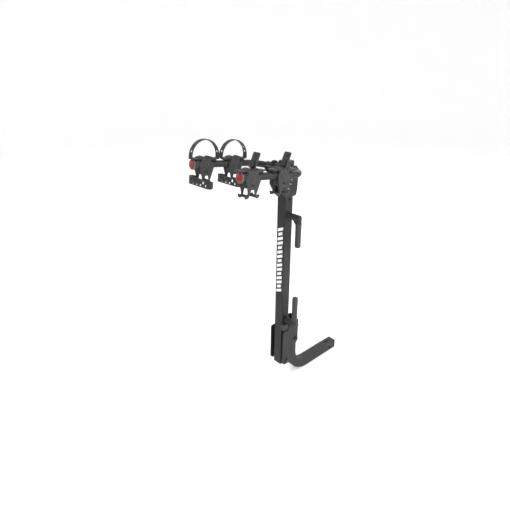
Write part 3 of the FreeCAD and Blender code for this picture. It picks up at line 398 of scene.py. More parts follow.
def thread_tip(radius):
    """Cut thread about X with a flat end, which shows past its nut."""
    root = radius * THREAD_ROOT_SHARE
    profile = [(root, -0.001)]
    for ridge in range(int(THREAD_SHOWN / THREAD_PITCH)):
        profile += [(radius, ridge * THREAD_PITCH), (root, (ridge + 0.5) * THREAD_PITCH)]
    profile += [(radius * 0.8, THREAD_SHOWN), (0, THREAD_SHOWN)]
    return placed(turned(profile, 24), ALONG_X)


def mirrored_x(bm):
    bmesh.ops.scale(bm, vec=(-1, 1, 1), verts=bm.verts)
    return bm


def bolt_trim(name, body, node_name, spots, radius, outer, face, bright=False):
    """Washers round a row of cross bolts and the thread that shows past each nut."""
    washers, tips = [], []
    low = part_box(node_name)[0]
    for back, up in spots:
        for side in (-1, 1):
            flat = washer(radius, outer, WASHER_THICK)
            if side < 0:
                mirrored_x(flat)
            washers.append(placed(flat, Matrix.Translation((side * face, back, up))))
        tip = mirrored_x(thread_tip(radius))
        tips.append(placed(tip, Matrix.Translation((low.x, back, up))))
    finish = ("plated_steel", plated_steel) if bright else ("black_zinc", black_zinc)
    make_piece(name + "_washers", joined(washers), body, *finish)
    make_piece(name + "_threads", joined(tips), body, "black_zinc", black_zinc)


def middle(node_name):
    low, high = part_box(node_name)
    return (low + high) / 2


plate_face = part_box("bracket_plate_right")[1].x
hub_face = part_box("hub_plate_right")[1].x
bracket_low, bracket_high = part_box("bracket_nuts")
bolt_half = (bracket_high.y - bracket_low.y) / 2
bracket_spots = [((bracket_low.y + bracket_high.y) / 2, up) for up in
                 (bracket_low.z + bolt_half, bracket_high.z - bolt_half)]
bolt_trim("bracket_bolt", "shank_base", "bracket_nuts", bracket_spots, *M12_BOLT, plate_face)
pivot = middle("tilt_pivot_nut")
bolt_trim("pivot_bolt", "shank_base", "tilt_pivot_nut", [(pivot.y, pivot.z)], *M12_BOLT,
          plate_face)
HUB_BOLTS = [(-0.384, 1.050), (-0.402, 1.014)]
bolt_trim("hub_bolt", "mast", "hub_nuts", HUB_BOLTS, *M10_BOLT, hub_face, bright=True)

# ---------------------------------------------------------------- moulded plugs and covers
# Mast cap, foot plug and latch cover are injection moulded in glass filled nylon with a fine
# spark grain. The bushes are plain nylon. All are pressed or screwed into place.
moulded_nylon = grained("moulded_nylon", (0.0215, 0.0205, 0.0205), 0.50, 1300.0, 0.00007,
                        tone=0.2, rub=(0.12, 0.12, 0.12), rub_share=0.5, dust=0.05,
                        Specular_IOR_Level=0.34)
bush_nylon = grained("bush_nylon", (0.70, 0.68, 0.62), 0.45, 1500.0, 0.00002, tone=0.06)
PLUG_EDGES = {"mast_cap": 0.0004, "mast_foot_plug": 0.0010, "latch_housing": 0.0014}
COVER_SCREW_INSET = 0.006
for plug, plug_edge in PLUG_EDGES.items():
    coat(nodes[plug], moulded_nylon)
    soften(nodes[plug], plug_edge, 3)
coat(nodes["tilt_pivot_bushes"], bush_nylon)


def block(low, high):
    """Box between two corners."""
    bm = bmesh.new()
    bmesh.ops.create_cube(bm, size=1.0)
    size = [b - a for a, b in zip(low, high)]
    bmesh.ops.scale(bm, vec=size, verts=bm.verts)
    bmesh.ops.translate(bm, vec=[(a + b) / 2 for a, b in zip(low, high)], verts=bm.verts)
    return bm


def bar(start, end, radius, end_radius=None, steps=20):
    """Round bar from one point to another."""
    start, end = Vector(start), Vector(end)
    bm = bmesh.new()
    bmesh.ops.create_cone(bm, cap_ends=True, segments=steps, radius1=radius,
                          radius2=radius if end_radius is None else end_radius,
                          depth=(end - start).length)
    turn_to = (end - start).to_track_quat("Z", "Y").to_matrix().to_4x4()
    return placed(bm, Matrix.Translation((start + end) / 2) @ turn_to)


def ball(at, radius):
    bm = bmesh.new()
    bmesh.ops.create_uvsphere(bm, u_segments=20, v_segments=12, radius=radius)
    bmesh.ops.translate(bm, vec=at, verts=bm.verts)
    return bm


def rail_of(points, radius):
    """Bead that follows a run of points, with a ball at each."""
    parts = [ball(point, radius) for point in points]
    parts += [bar(a, b, radius) for a, b in zip(points, points[1:])]
    return parts


def moulded(parts, grain, rounds):
    """Melt overlapping solids into one skin, then relax it so that the corners are radiused."""
    raw = bpy.data.meshes.new("raw")
    whole = joined(parts)
    whole.to_mesh(raw)
    whole.free()
    mould = bpy.data.objects.new("mould", raw)
    scene.collection.objects.link(mould)
    melt = mould.modifiers.new("melt", "REMESH")
    melt.mode = "VOXEL"
    melt.voxel_size = grain
    skin = bpy.data.meshes.new_from_object(mould.evaluated_get(
        bpy.context.evaluated_depsgraph_get()))
    bpy.data.objects.remove(mould)
    bm = bmesh.new()
    bm.from_mesh(skin)
    bpy.data.meshes.remove(skin)
    for _ in range(rounds):
        bmesh.ops.smooth_vert(bm, verts=bm.verts, factor=0.5, use_axis_x=True, use_axis_y=True,
                              use_axis_z=True)
    return bm


housing_low, housing_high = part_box("latch_housing")
cover_screws = []
for level in (housing_low.z + COVER_SCREW_INSET, housing_high.z - COVER_SCREW_INSET):
    head = turned([(0.0009, 0.0006), (0.0012, 0.0016), (0.0024, 0.0016), (0.0031, 0.0006),
                   (0.0031, -0.0005)], 24)
    recess = turned([(0.0009, 0.0006), (0.0, 0.0004)], 24)
    spot = Matrix.Translation((housing_high.x, (housing_low.y + housing_high.y) / 2, level))
    cover_screws.append(placed(joined([head, recess]), spot @ ALONG_X))
make_piece("latch_cover_screws", joined(cover_screws), "mast", "black_zinc", black_zinc)

# ---------------------------------------------------------------- grab handle and release lever
# Each is a casting with a rounded elbow and an inner web, coated like the tubes. A soft rubber
# grip is pushed over its end. The upper one is bolted to the mast, and the lower one is in one
# piece with the shaft that works the lock.
grip_rubber = grained("grip_rubber", (0.0290, 0.0320, 0.0350), 0.62, 1700.0, 0.00009, tone=0.18,
                      dust=0.06, Specular_IOR_Level=0.30)
GRIP_SIDE = middle("upper_handle_grip").x
GRIP_BACK = middle("upper_handle_grip").y
GRIP_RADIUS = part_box("upper_handle_grip")[1].x - GRIP_SIDE
BAR_RADIUS = 0.0145
ROOT_FLANGE = 0.0175
SHAFT_RADIUS = 0.007
GRIP_START = 0.022
CASTING_GRAIN = 0.0011
ROOT_GAP = 0.0002


def elbow_casting(root, level, way):
    """Bar out from the mast, shoulder and web, with the stub that the grip covers."""
    shoulder = level - way * 0.024
    return [bar((root, GRIP_BACK, level), (GRIP_SIDE + 0.005, GRIP_BACK, level), BAR_RADIUS),
            ball((GRIP_SIDE, GRIP_BACK, level + way * 0.001), GRIP_RADIUS),
            bar((root, GRIP_BACK, level), (root + 0.007, GRIP_BACK, level), ROOT_FLANGE, 0.0155),
            bar((GRIP_SIDE, GRIP_BACK, level + way * 0.004), (GRIP_SIDE, GRIP_BACK, shoulder),
                GRIP_RADIUS - 0.0006),
            bar((GRIP_SIDE - 0.030, GRIP_BACK, level), (GRIP_SIDE - 0.002, GRIP_BACK,
                                                       level - way * 0.030), 0.0105),
            bar((GRIP_SIDE - 0.020, GRIP_BACK, level), (GRIP_SIDE - 0.001, GRIP_BACK,
                                                       level - way * 0.036), 0.0100)]


def smoothed(piece):
    smooth = piece.modifiers.new("smooth", "SUBSURF")
    smooth.levels = smooth.render_levels = 1


def rubber_grip(name, body, node_name, tip, root):
    """Sleeve with a round closed end, a waist, two bands near the end and a flange."""
    length = abs(root - tip)
    r = GRIP_RADIUS
    profile = [(0.0, 0.0)]
    for step in range(1, 9):
        turn = math.radians(90 * step / 8)
        profile.append(((r - 0.0004) * math.sin(turn), 0.010 * (1 - math.cos(turn))))
    for band in (0.016, 0.021):
        profile += [(r, band - 0.0008), (r - 0.0009, band), (r - 0.0009, band + 0.0012),
                    (r, band + 0.002)]
    for step in range(1, 8):
        share = step / 8
        profile.append((r - 0.0007 * math.sin(math.pi * share), 0.024 + (length - 0.034) * share))
    profile += [(r, length - 0.008), (r + 0.0006, length - 0.006), (r + 0.0006, length - 0.0015),
                (r - 0.0004, length), (0.010, length)]
    way = 1 if root > tip else -1
    spot = Matrix.Translation((GRIP_SIDE, GRIP_BACK, tip)) @ Matrix.Diagonal((1, 1, way, 1))
    smoothed(make_piece(name, turned(profile, 40), body, "grip_rubber", grip_rubber,
                        [node_name], spot, sharp=60))


handle_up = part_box("upper_handle")[1].z - BAR_RADIUS
mast_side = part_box("mast_tube")[1].x
casting = moulded(elbow_casting(mast_side + ROOT_GAP, handle_up, 1), CASTING_GRAIN, 5)
make_piece("upper_handle_casting", casting, "mast", "powder_coat", powder_coat, ["upper_handle"],
           sharp=70, clean=False)
rubber_grip("upper_handle_rubber", "mast", "upper_handle_grip",
            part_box("upper_handle_grip")[0].z, handle_up - GRIP_START)

lever_up = joints["tilt_lever"]["pos_m"][2]
shaft_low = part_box("tilt_lever")[0].x
pawl_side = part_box("lock_pawl")[1].x
lever_parts = elbow_casting(pawl_side + ROOT_GAP, lever_up, -1)
lever_parts.append(bar((shaft_low, GRIP_BACK, lever_up), (pawl_side, GRIP_BACK, lever_up),
                       SHAFT_RADIUS, steps=40))
make_piece("tilt_lever_casting", moulded(lever_parts, CASTING_GRAIN, 4), "tilt_lever_body",
           "powder_coat", powder_coat, ["tilt_lever"], sharp=70, clean=False)
rubber_grip("tilt_lever_rubber", "tilt_lever_body", "tilt_lever_grip",
            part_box("tilt_lever_grip")[1].z, lever_up + GRIP_START)

# ---------------------------------------------------------------- arm caps and reflectors
# Each arm ends in a moulded cap with a paler bezel, glued over the tube. The reflector is a
# domed red acrylic disc, with rows of small prisms moulded in its back.
ARM_RISE = math.atan2(joints["left_cradle_1_swivel"]["axis"][2],
                      -joints["left_cradle_1_swivel"]["axis"][1])
ARM_FRAME = Matrix.Translation(joints["arms_fold"]["pos_m"]) @ Matrix.Rotation(-ARM_RISE, 4, "X")
OUTWARD = Matrix.Rotation(math.radians(90), 4, "X")
CAP_FACE = 0.338
CAP_RADIUS = 0.020
CAP_WALL = 0.0016
CAP_RING_SHARE = 0.35
LENS_RADIUS = 0.0175
PRISM_SCALE = 420.0
ARM_ACROSS = 0.145
cap_plastic = grained("cap_plastic", (0.0185, 0.0182, 0.0185), 0.42, 1400.0, 0.00005, tone=0.2,
                      rub=(0.10, 0.10, 0.10), rub_share=0.4, dust=0.05, Specular_IOR_Level=0.34)
cap_bezel = grained("cap_bezel", (0.095, 0.085, 0.085), 0.38, 1400.0, 0.00004, tone=0.15,
                    rub=(0.4, 0.4, 0.4), rub_share=0.4)


def build_prisms():
    """Height and shade of the prism rows behind a reflector's face."""
    tree, taken, given = new_group("prism_rows", {"Scale": PRISM_SCALE}, ["Height", "Shade"])
    where = node(tree, "ShaderNodeTexCoord").outputs["Object"]
    cells = node(tree, "ShaderNodeTexVoronoi", {"Vector": where, "Scale": taken.outputs["Scale"],
                                                "Randomness": 0.0},
                 feature="F1", distance="MANHATTAN")
    cloud = node(tree, "ShaderNodeTexNoise", {"Vector": where, "Scale": 90.0, "Detail": 4.0})
    shade = node(tree, "ShaderNodeMath", {0: cells.outputs["Distance"], 1: cloud.outputs["Fac"]},
                 operation="MULTIPLY")
    tree.links.new(cells.outputs["Distance"], given.inputs["Height"])
    tree.links.new(shade.outputs["Value"], given.inputs["Shade"])
    return tree


def make_red_lens():
    material = bpy.data.materials.new("red_lens")
    material.use_nodes = True
    tree = material.node_tree
    surface = tree.nodes["Principled BSDF"]
    rows = node(tree, "ShaderNodeGroup", node_tree=build_prisms())
    rows.inputs["Scale"].default_value = PRISM_SCALE
    red = node(tree, "ShaderNodeMix", {0: rows.outputs["Shade"], 6: (0.12, 0.002, 0.002, 1),
                                       7: (0.40, 0.010, 0.008, 1)}, data_type="RGBA")
    dents = node(tree, "ShaderNodeBump", {"Height": rows.outputs["Height"], "Strength": 0.5,
                                          "Distance": 0.0003})
    tree.links.new(red.outputs[2], surface.inputs["Base Color"])
    tree.links.new(dents.outputs["Normal"], surface.inputs["Normal"])
    surface.inputs["Roughness"].default_value = 0.22
    surface.inputs["Coat Weight"].default_value = 0.3
    surface.inputs["Specular IOR Level"].default_value = 0.3
    surface.inputs["Coat Roughness"].default_value = 0.08
    return material


red_lens = make_red_lens()


def make_cap(side, across, root):
    """Cap, bezel and lens, turned about the arm's own line."""
    ring = root * CAP_RING_SHARE
    shell = turned([(0.0145, 0.0005), (CAP_RADIUS - CAP_WALL, 0.0005), (CAP_RADIUS, 0.002),
                    (CAP_RADIUS, ring), (CAP_RADIUS - 0.0008, ring + 0.0006),
                    (CAP_RADIUS - 0.0008, ring + 0.0018), (CAP_RADIUS, ring + 0.0024),
                    (CAP_RADIUS, root - 0.005), (CAP_RADIUS - 0.0006, root - 0.0046),
                    (LENS_RADIUS + 0.0004, root - 0.0046), (0.0, root - 0.0046)], 56)
    bezel = turned([(LENS_RADIUS, root - 0.005), (CAP_RADIUS - 0.0004, root - 0.0045),
                    (CAP_RADIUS, root - 0.0035), (CAP_RADIUS, root - 0.0012),
                    (CAP_RADIUS - 0.0010, root), (LENS_RADIUS + 0.0006, root),
                    (LENS_RADIUS + 0.0001, root - 0.0008), (LENS_RADIUS, root - 0.005)], 56)
    dome = [(LENS_RADIUS - 0.0001, root - 0.0045), (LENS_RADIUS - 0.0001, root + 0.0004)]
    dome += [((LENS_RADIUS - 0.0009) * math.cos(math.radians(t)),
              root + 0.0008 + 0.0020 * math.sin(math.radians(t))) for t in (0, 15, 30, 50, 70, 90)]
    spot = (ARM_FRAME @ Matrix.Translation((across, -(CAP_FACE - root), 0)) @ OUTWARD)
    make_piece(side + "_cap_shell", shell, "arms", "cap_plastic", cap_plastic,
               [side + "_arm_cap"], spot)
    make_piece(side + "_cap_bezel", bezel, "arms", "cap_plastic", cap_bezel, (), spot)
    make_piece(side + "_lens", turned(dome, 56), "arms", "red_lens", red_lens,
               [side + "_reflector"], spot)


for side, across, cap_length in (("left", -ARM_ACROSS, 0.0345), ("right", ARM_ACROSS, 0.0215)):
    make_cap(side, across, cap_length)

# ---------------------------------------------------------------- cradle bodies
# Each cradle is one nylon moulding that is clamped round the arm: a rail on top, ribbed skirts and
# feet. The right hand ones end in open hooks. The left hand ones have pegs for their bands and a
# collar at the outer end of the bore.
CRADLES = [f"{side}_cradle_{number}" for side in ("left", "right") for number in (1, 2)]
SKIRT_FACE = 0.0198
RAIL_LOW = 0.0206
RAIL_TOP = 0.0256
WEB_LOW = 0.0150
ANKLE_LEVEL = -0.045
FOOT_DRAW_IN = 0.70
WING_SPREAD = 1.42
BEAD = 0.0015
GUIDE_BACK = -0.009
GUIDE_BEND = 0.0075
GUIDE_TOP = 0.012
GUIDE_LOW = -0.032
ARM_BORE = 0.01435
COLLAR_PLACE = -0.0235
RAIL_PEG_BACK = 0.0605
RAIL_PEG_LEVEL = 0.0235
CRADLE_GRAIN = 0.00115


def cradle_frame(name):
    return (Matrix.Translation(joints[name + "_swivel"]["pos_m"])
            @ Matrix.Rotation(-ARM_RISE, 4, "X"))


def packed_core(node_name, frame_place):
    """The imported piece's own mesh, welded and brought into its cradle's frame."""
    core = bmesh.new()
    core.from_mesh(nodes[node_name].data)
    bmesh.ops.remove_doubles(core, verts=core.verts, dist=MERGE_GAP)
    return placed(core, frame_place.inverted())


def skirt_ribs(face):
    """Beads on one skirt: its edges, a slanting rib and the long loop that guides the strap."""
    parts = []
    for way in (-1, 1):
        parts += rail_of([(face, way * 0.0335, 0.006), (face, way * 0.0335, -0.013),
                          (face, way * 0.0185, -0.056)], BEAD)
    parts += rail_of([(face, -0.0130, -0.060), (face, -0.0085, -0.0415), (face, 0.0085, -0.0415),
                      (face, 0.0130, -0.060)], BEAD)
    parts += rail_of([(face, 0.017, 0.019), (face, -0.004, -0.038)], BEAD * 1.3)
    loop = []
    for step in range(13):
        turn_by = math.pi * step / 12
        loop.append((face, GUIDE_BACK + GUIDE_BEND * math.cos(turn_by),
                     GUIDE_TOP + GUIDE_BEND * math.sin(turn_by)))
    for step in range(13):
        turn_by = math.pi * (1 + step / 12)
        loop.append((face, GUIDE_BACK + GUIDE_BEND * math.cos(turn_by),
                     GUIDE_LOW + GUIDE_BEND * math.sin(turn_by)))
    parts += rail_of(loop + loop[:1], BEAD)
    return parts


def hook_feet():
    """Open hooks that curl away from the cradle, each with a ball at its end."""
    parts = []
    for way in (-1, 1):
        for across in (-0.0170, 0.0170):
            parts += rail_of([(across, way * 0.0165, -0.056), (across, way * 0.0185, -0.0655),
                              (across, way * 0.0225, -0.0705), (across, way * 0.0280, -0.0705),
                              (across, way * 0.0305, -0.0660)], 0.0042)
            parts.append(ball((across, way * 0.0305, -0.0650), 0.0054))
        parts.append(bar((-0.019, way * 0.0182, -0.0665), (0.019, way * 0.0182, -0.0665), 0.0052))
    return parts


def band_pegs():
    """Two pegs out of the front feet, whose heads hold the anti-sway band."""
    parts = []
    for across in (-0.0155, 0.0155):
        parts.append(bar((across, -0.0160, -0.0660), (across, -0.0362, -0.0660), 0.0034))
        parts.append(bar((across, -0.0354, -0.0660), (across, -0.0380, -0.0660), 0.0062, 0.0050))
    parts.append(bar((-0.0185, -0.0182, -0.0665), (0.0185, -0.0182, -0.0665), 0.0050))
    return parts


def collar():
    """Ring round the arm at the outer end of the bore."""
    ring = turned([(ARM_BORE, -0.0022), (0.0195, -0.0022), (0.0202, 0.0), (0.0195, 0.0022),
                   (ARM_BORE, 0.0022), (ARM_BORE, -0.0022)], 48)
    return placed(ring, Matrix.Translation((0, COLLAR_PLACE, 0)) @ OUTWARD)


def rail_details(is_outer):
    """Side lips and end pegs of the rail that the strap hooks on, and the web under it."""
    parts = [block((-0.010, 0.020, WEB_LOW), (0.010, 0.055, 0.022))]
    if not is_outer:
        parts.append(block((-0.010, -0.055, WEB_LOW), (0.010, -0.020, 0.022)))
    for way in (-1, 1):
        parts += rail_of([(way * 0.0142, -0.058, RAIL_TOP - 0.001),
                          (way * 0.0142, 0.058, RAIL_TOP - 0.001)], 0.0016)
        parts.append(bar((-0.0145, way * RAIL_PEG_BACK, RAIL_PEG_LEVEL),
                         (0.0145, way * RAIL_PEG_BACK, RAIL_PEG_LEVEL), 0.0032))
    return parts


def make_cradle_body(name):
    spot = cradle_frame(name)
    core = packed_core(name + "_body", spot)
    for vert in core.verts:
        if vert.co.z < ANKLE_LEVEL:
            vert.co.y *= FOOT_DRAW_IN
        elif abs(vert.co.x) > 0.0195 and vert.co.z < 0.010 and abs(vert.co.y) > 0.020:
            vert.co.y *= WING_SPREAD
    parts = [core] + skirt_ribs(SKIRT_FACE) + skirt_ribs(-SKIRT_FACE)
    parts += rail_details(name.endswith("1"))
    if name.startswith("right"):
        parts += hook_feet()
    else:
        parts += band_pegs() + [collar()]
    skin = moulded(parts, CRADLE_GRAIN, 3)
    make_piece(name + "_moulding", skin, name, "moulded_nylon", moulded_nylon, [name + "_body"],
               spot, sharp=70, clean=False)


for cradle in CRADLES:
    make_cradle_body(cradle)

# ---------------------------------------------------------------- cradle pads
# A ridged pad of soft rubber is pushed on each rail. Its groove holds the bike's tube, and its
# ribs run along the tube so that it doesn't turn.
pad_rubber = grained("pad_rubber", (0.026, 0.0255, 0.025), 0.72, 1100.0, 0.00012, tone=0.2,
                     dust=0.10, Specular_IOR_Level=0.30)
GROOVE_RADIUS = 0.026
GROOVE_CENTRE = 0.0546
RIB_PITCH = 0.005
RIB_HEIGHT = 0.0007


def make_pad(name):
    """Grooved block: the top follows the groove and carries rounded ribs."""
    columns, rows = 76, 20
    half_length, half_width, height = 0.038, 0.014, 0.008
    bm = bmesh.new()
    bmesh.ops.create_grid(bm, x_segments=rows, y_segments=columns, size=1.0)
    for vert in bm.verts:
        across, along = vert.co.x * half_width, vert.co.y * half_length
        groove = 1
        if abs(along) < GROOVE_RADIUS:
            groove = GROOVE_CENTRE - math.sqrt(max(GROOVE_RADIUS ** 2 - along ** 2, 0.0))
        fall = 0.0058 * max(0.0, (abs(along) - 0.017) / 0.021) ** 1.3
        top = min(RAIL_TOP + height, groove) - fall
        inside = max(0.0, 1 - (abs(across) / half_width) ** 8)
        rib = RIB_HEIGHT * (0.5 + 0.5 * math.cos(2 * math.pi * along / RIB_PITCH)) * inside
        ends = 0.0012 * (abs(along) / half_length) ** 12 + 0.0009 * (abs(across) / half_width) ** 10
        vert.co = (across, along, top + rib - RIB_HEIGHT - ends)
    skirt = bmesh.ops.extrude_edge_only(bm, edges=[e for e in bm.edges if e.is_boundary])
    low = [v for v in skirt["geom"] if isinstance(v, bmesh.types.BMVert)]
    for vert in low:
        vert.co.z = RAIL_TOP
    bmesh.ops.contextual_create(bm, geom=[e for e in bm.edges if e.is_boundary])
    make_piece(name + "_pad_rubber", bm, name, "pad_rubber", pad_rubber, [name + "_pad"],
               cradle_frame(name), sharp=55)


for cradle in CRADLES:
    make_pad(cradle)

# ---------------------------------------------------------------- loop straps, left hand cradles
# Moulded rubber ladder straps, closed in a loop over the rail. Round buckle holes pierce both
# sides, and ribs across the top take the pull of the tongue.
strap_rubber = grained("strap_rubber", (0.0195, 0.019, 0.019), 0.52, 1200.0, 0.00009, tone=0.2,
                       rub=(0.14, 0.14, 0.14), rub_share=0.6, dust=0.05,
                       Specular_IOR_Level=0.36)
LOOP_RADIUS = 0.0645
LOOP_RISE = 0.032
LOOP_THICK = 0.003
LOOP_WIDTH = 0.024
LOOP_STEP = 0.0015
HOLE_FIRST = 0.031
HOLE_PITCH = 0.020
RUNG_PITCH = 0.0065


def strip(length, width, step):
    """Flat sheet from x = 0 to its length, centred across y."""
    bm = bmesh.new()
    bmesh.ops.create_grid(bm, x_segments=round(length / step), y_segments=round(width / step),
                          size=0.5)
    bmesh.ops.scale(bm, vec=(length, width, 1), verts=bm.verts)
    bmesh.ops.translate(bm, vec=(length / 2, 0, 0), verts=bm.verts)
    return bm


def pierce(bm, spots):
    """Oval holes at x and y, of half sizes a by b."""
    for x, y, a, b in spots:
        def reach(co):
            return (abs((co.x - x) / a) ** 2.0 + abs((co.y - y) / b) ** 2.0) ** 0.5
        gone = [face for face in bm.faces if reach(face.calc_center_median()) < 1]
        rim = {vert for face in gone for vert in face.verts}
        bmesh.ops.delete(bm, geom=gone, context="FACES")
        for vert in rim:
            if not vert.is_valid:
                continue
            share = reach(vert.co)
            vert.co.x = x + (vert.co.x - x) / share
            vert.co.y = y + (vert.co.y - y) / share


def thicken(bm, thick):
    """Give the sheet its wall: one skin at each half thickness."""
    for vert in bm.verts:
        vert.co.z = -thick / 2
    bmesh.ops.recalc_face_normals(bm, faces=bm.faces)
    skin = bmesh.ops.extrude_face_region(bm, geom=list(bm.faces))
    for vert in (v for v in skin["geom"] if isinstance(v, bmesh.types.BMVert)):
        vert.co.z = thick / 2


def loop_point(u, v, w):
    """Point of the strap at u along it, v across it and w out from its middle."""
    straight = LOOP_RISE - RAIL_LOW
    curve = math.pi * LOOP_RADIUS
    if u < straight:
        return (v, -(LOOP_RADIUS + w), RAIL_LOW + u)
    if u > straight + curve:
        return (v, LOOP_RADIUS + w, LOOP_RISE - (u - straight - curve))
    swing = (u - straight) / LOOP_RADIUS
    return (v, -(LOOP_RADIUS + w) * math.cos(swing),
            LOOP_RISE + (LOOP_RADIUS + w) * math.sin(swing))


def make_loop_strap(name):
    length = math.pi * LOOP_RADIUS + 2 * (LOOP_RISE - RAIL_LOW)
    bm = strip(length, LOOP_WIDTH, LOOP_STEP)
    holes = ((0, 1, 1), (length, -1, 1 if name.endswith("1") else 3))
    spots = [(end + way * (HOLE_FIRST + HOLE_PITCH * number), 0, 0.0046, 0.0044)
             for end, way, count in holes for number in range(count)]
    pierce(bm, spots)
    thicken(bm, LOOP_THICK)
    for vert in bm.verts:
        u, v, w = vert.co
        taper = 0.88 + 0.12 * abs(2 * u / length - 1) ** 1.5
        if w > 0:
            edge = 0.0006 if abs(v) > 0.0100 else 0.0
            rung = 0.0
            if abs(u - length / 2) < 0.034 and abs(v) < 0.0085:
                rung = 0.0007 * (0.5 + 0.5 * math.cos(2 * math.pi * u / RUNG_PITCH))
            w += edge + rung
        vert.co = loop_point(u, v * taper, w)
    for way in (-1, 1):
        foot = bar((-0.013, way * LOOP_RADIUS, RAIL_PEG_LEVEL),
                   (0.013, way * LOOP_RADIUS, RAIL_PEG_LEVEL), 0.0036)
        bm = joined([bm, foot])
    smoothed(make_piece(name + "_loop_strap", bm, name, "strap_rubber", strap_rubber,
                        [name + "_strap"], cradle_frame(name), sharp=50))


# ---------------------------------------------------------------- anti-sway bands
# A wide perforated rubber band hangs on the front feet of each left hand cradle and holds the
# bike's seat tube. One end is folded back on itself and the other curls in.
BAND_OUT, BAND_IN = -0.060, 0.086
BAND_FRONT = -0.03325
BAND_MIDDLE = -0.0685
BAND_WIDTH = 0.033
BAND_THICK = 0.0030
BAND_STEP = 0.0018
HOLE_RIM = 0.0022
FOLD_RADIUS = 0.0125
FOLD_RETURN = 0.026
CURL_RADIUS = 0.0150
CURL_TURN = math.radians(100)
RETURN_HOLE = (0.012, 0.0, 0.0045, 0.0065)      # along, across, and half sizes
BAND_HOLES = [(0.081, 0.0075, 0.0052, 0.0048), (0.089, -0.0075, 0.0046, 0.0042),
              (0.106, 0.0080, 0.0054, 0.0044), (0.116, -0.0070, 0.0052, 0.0048),
              (0.133, 0.0075, 0.0046, 0.0046), (0.141, -0.0080, 0.0044, 0.0042),
              (0.158, 0.0040, 0.0058, 0.0064), (0.176, -0.0060, 0.0042, 0.0046)]


def band_point(u, v, w):
    """Point of the band: return run, fold, front run, then the curl."""
    fold = math.pi * FOLD_RADIUS
    front = BAND_IN - BAND_OUT - FOLD_RADIUS - CURL_RADIUS
    if u < FOLD_RETURN:
        return (BAND_OUT + FOLD_RADIUS + FOLD_RETURN - u, BAND_FRONT + 2 * FOLD_RADIUS + w, v)
    if u < FOLD_RETURN + fold:
        swing = (u - FOLD_RETURN) / FOLD_RADIUS
        reach = FOLD_RADIUS + w
        return (BAND_OUT + FOLD_RADIUS - reach * math.sin(swing),
                BAND_FRONT + FOLD_RADIUS + reach * math.cos(swing), v)
    run = u - FOLD_RETURN - fold
    if run < front:
        return (BAND_OUT + FOLD_RADIUS + run, BAND_FRONT - w, v)
    swing = (run - front) / CURL_RADIUS
    reach = CURL_RADIUS + w
    return (BAND_IN - CURL_RADIUS + reach * math.sin(swing),
            BAND_FRONT + CURL_RADIUS - reach * math.cos(swing), v)


def make_sway_band(name):
    length = (FOLD_RETURN + math.pi * FOLD_RADIUS + BAND_IN - BAND_OUT - FOLD_RADIUS - CURL_RADIUS
              + CURL_RADIUS * CURL_TURN)
    bm = strip(length, BAND_WIDTH, BAND_STEP)
    pierce(bm, BAND_HOLES + [RETURN_HOLE])
    thicken(bm, BAND_THICK)
    half = BAND_WIDTH / 2
    for vert in bm.verts:
        u, v, w = vert.co
        end = min(u, length - u)
        narrow = 1 - 0.22 * max(0.0, 1 - end / 0.014) ** 2
        if w > 0 and (half - abs(v) < 0.0030 or end < 0.003):
            w += 0.0006
        near = min(((u - x) / (a + HOLE_RIM)) ** 2 + ((v - y) / (b + HOLE_RIM)) ** 2
                   for x, y, a, b in BAND_HOLES)
        if w > 0 and near < 1.05:
            w += 0.0005
        vert.co = band_point(u, v * narrow + BAND_MIDDLE, w)
    smoothed(make_piece(name + "_band", bm, name, "strap_rubber", strap_rubber,
                        [name + "_sway_band"], cradle_frame(name), sharp=50))


for cradle in CRADLES[:2]:
    make_loop_strap(cradle)
    make_sway_band(cradle)

# ---------------------------------------------------------------- open straps, right hand cradles
# The right hand straps are left open, so their stiff tails stand up from the pads and lean to the
# mast. Each has two raised rectangular pads inside a lower rim, and a moulded stud below them.
TAIL_LENGTH, TAIL_WIDTH, TAIL_THICK = 0.058, 0.034, 0.005
TAIL_STEP = 0.0011
TAIL_PADS = [(0.027, 0, 0.0042, 0.0070), (0.046, 0, 0.0042, 0.0070)]
TAIL_PAD_RISE = 0.0017
TAIL_PAD_RIM = 0.0009
TAIL_EDGE_RISE = 0.0007
TAIL_EDGE_WIDTH = 0.0032
TAIL_FRAME = (Matrix.Translation((0, 0.003, 0.0316))
              @ Matrix.Rotation(math.radians(-20), 4, "X"))


def make_tail_strap(name):
    bm = strip(TAIL_LENGTH, TAIL_WIDTH, TAIL_STEP)
    thicken(bm, TAIL_THICK - 0.0012)
    half = TAIL_WIDTH / 2
    for vert in bm.verts:
        u, v, w = vert.co
        corner = max(0.0, (u - TAIL_LENGTH + 0.006) / 0.006)
        narrow = 1 - 0.16 * corner ** 2
        rise = 0.0
        if half - abs(v) < TAIL_EDGE_WIDTH or u > TAIL_LENGTH - TAIL_EDGE_WIDTH:
            rise = TAIL_EDGE_RISE
        near = min((abs((u - x) / (a + HOLE_RIM)) ** 4 + abs((v - y) / (b + HOLE_RIM)) ** 4)
                   for x, y, a, b in TAIL_PADS)
        if near < 1.3:
            rise = TAIL_PAD_RIM
        if near < 0.50:
            rise = TAIL_PAD_RISE
        w += math.copysign(rise, w)
        vert.co = (v * narrow, TAIL_THICK / 2 - w, u)
    smoothed(make_piece(name + "_tail_strap", bm, name, "strap_rubber", strap_rubber,
                        [name + "_strap"], cradle_frame(name) @ TAIL_FRAME, sharp=50))


BUCKLE_FACE = -0.0280
BUCKLE_GRAIN = 0.0009


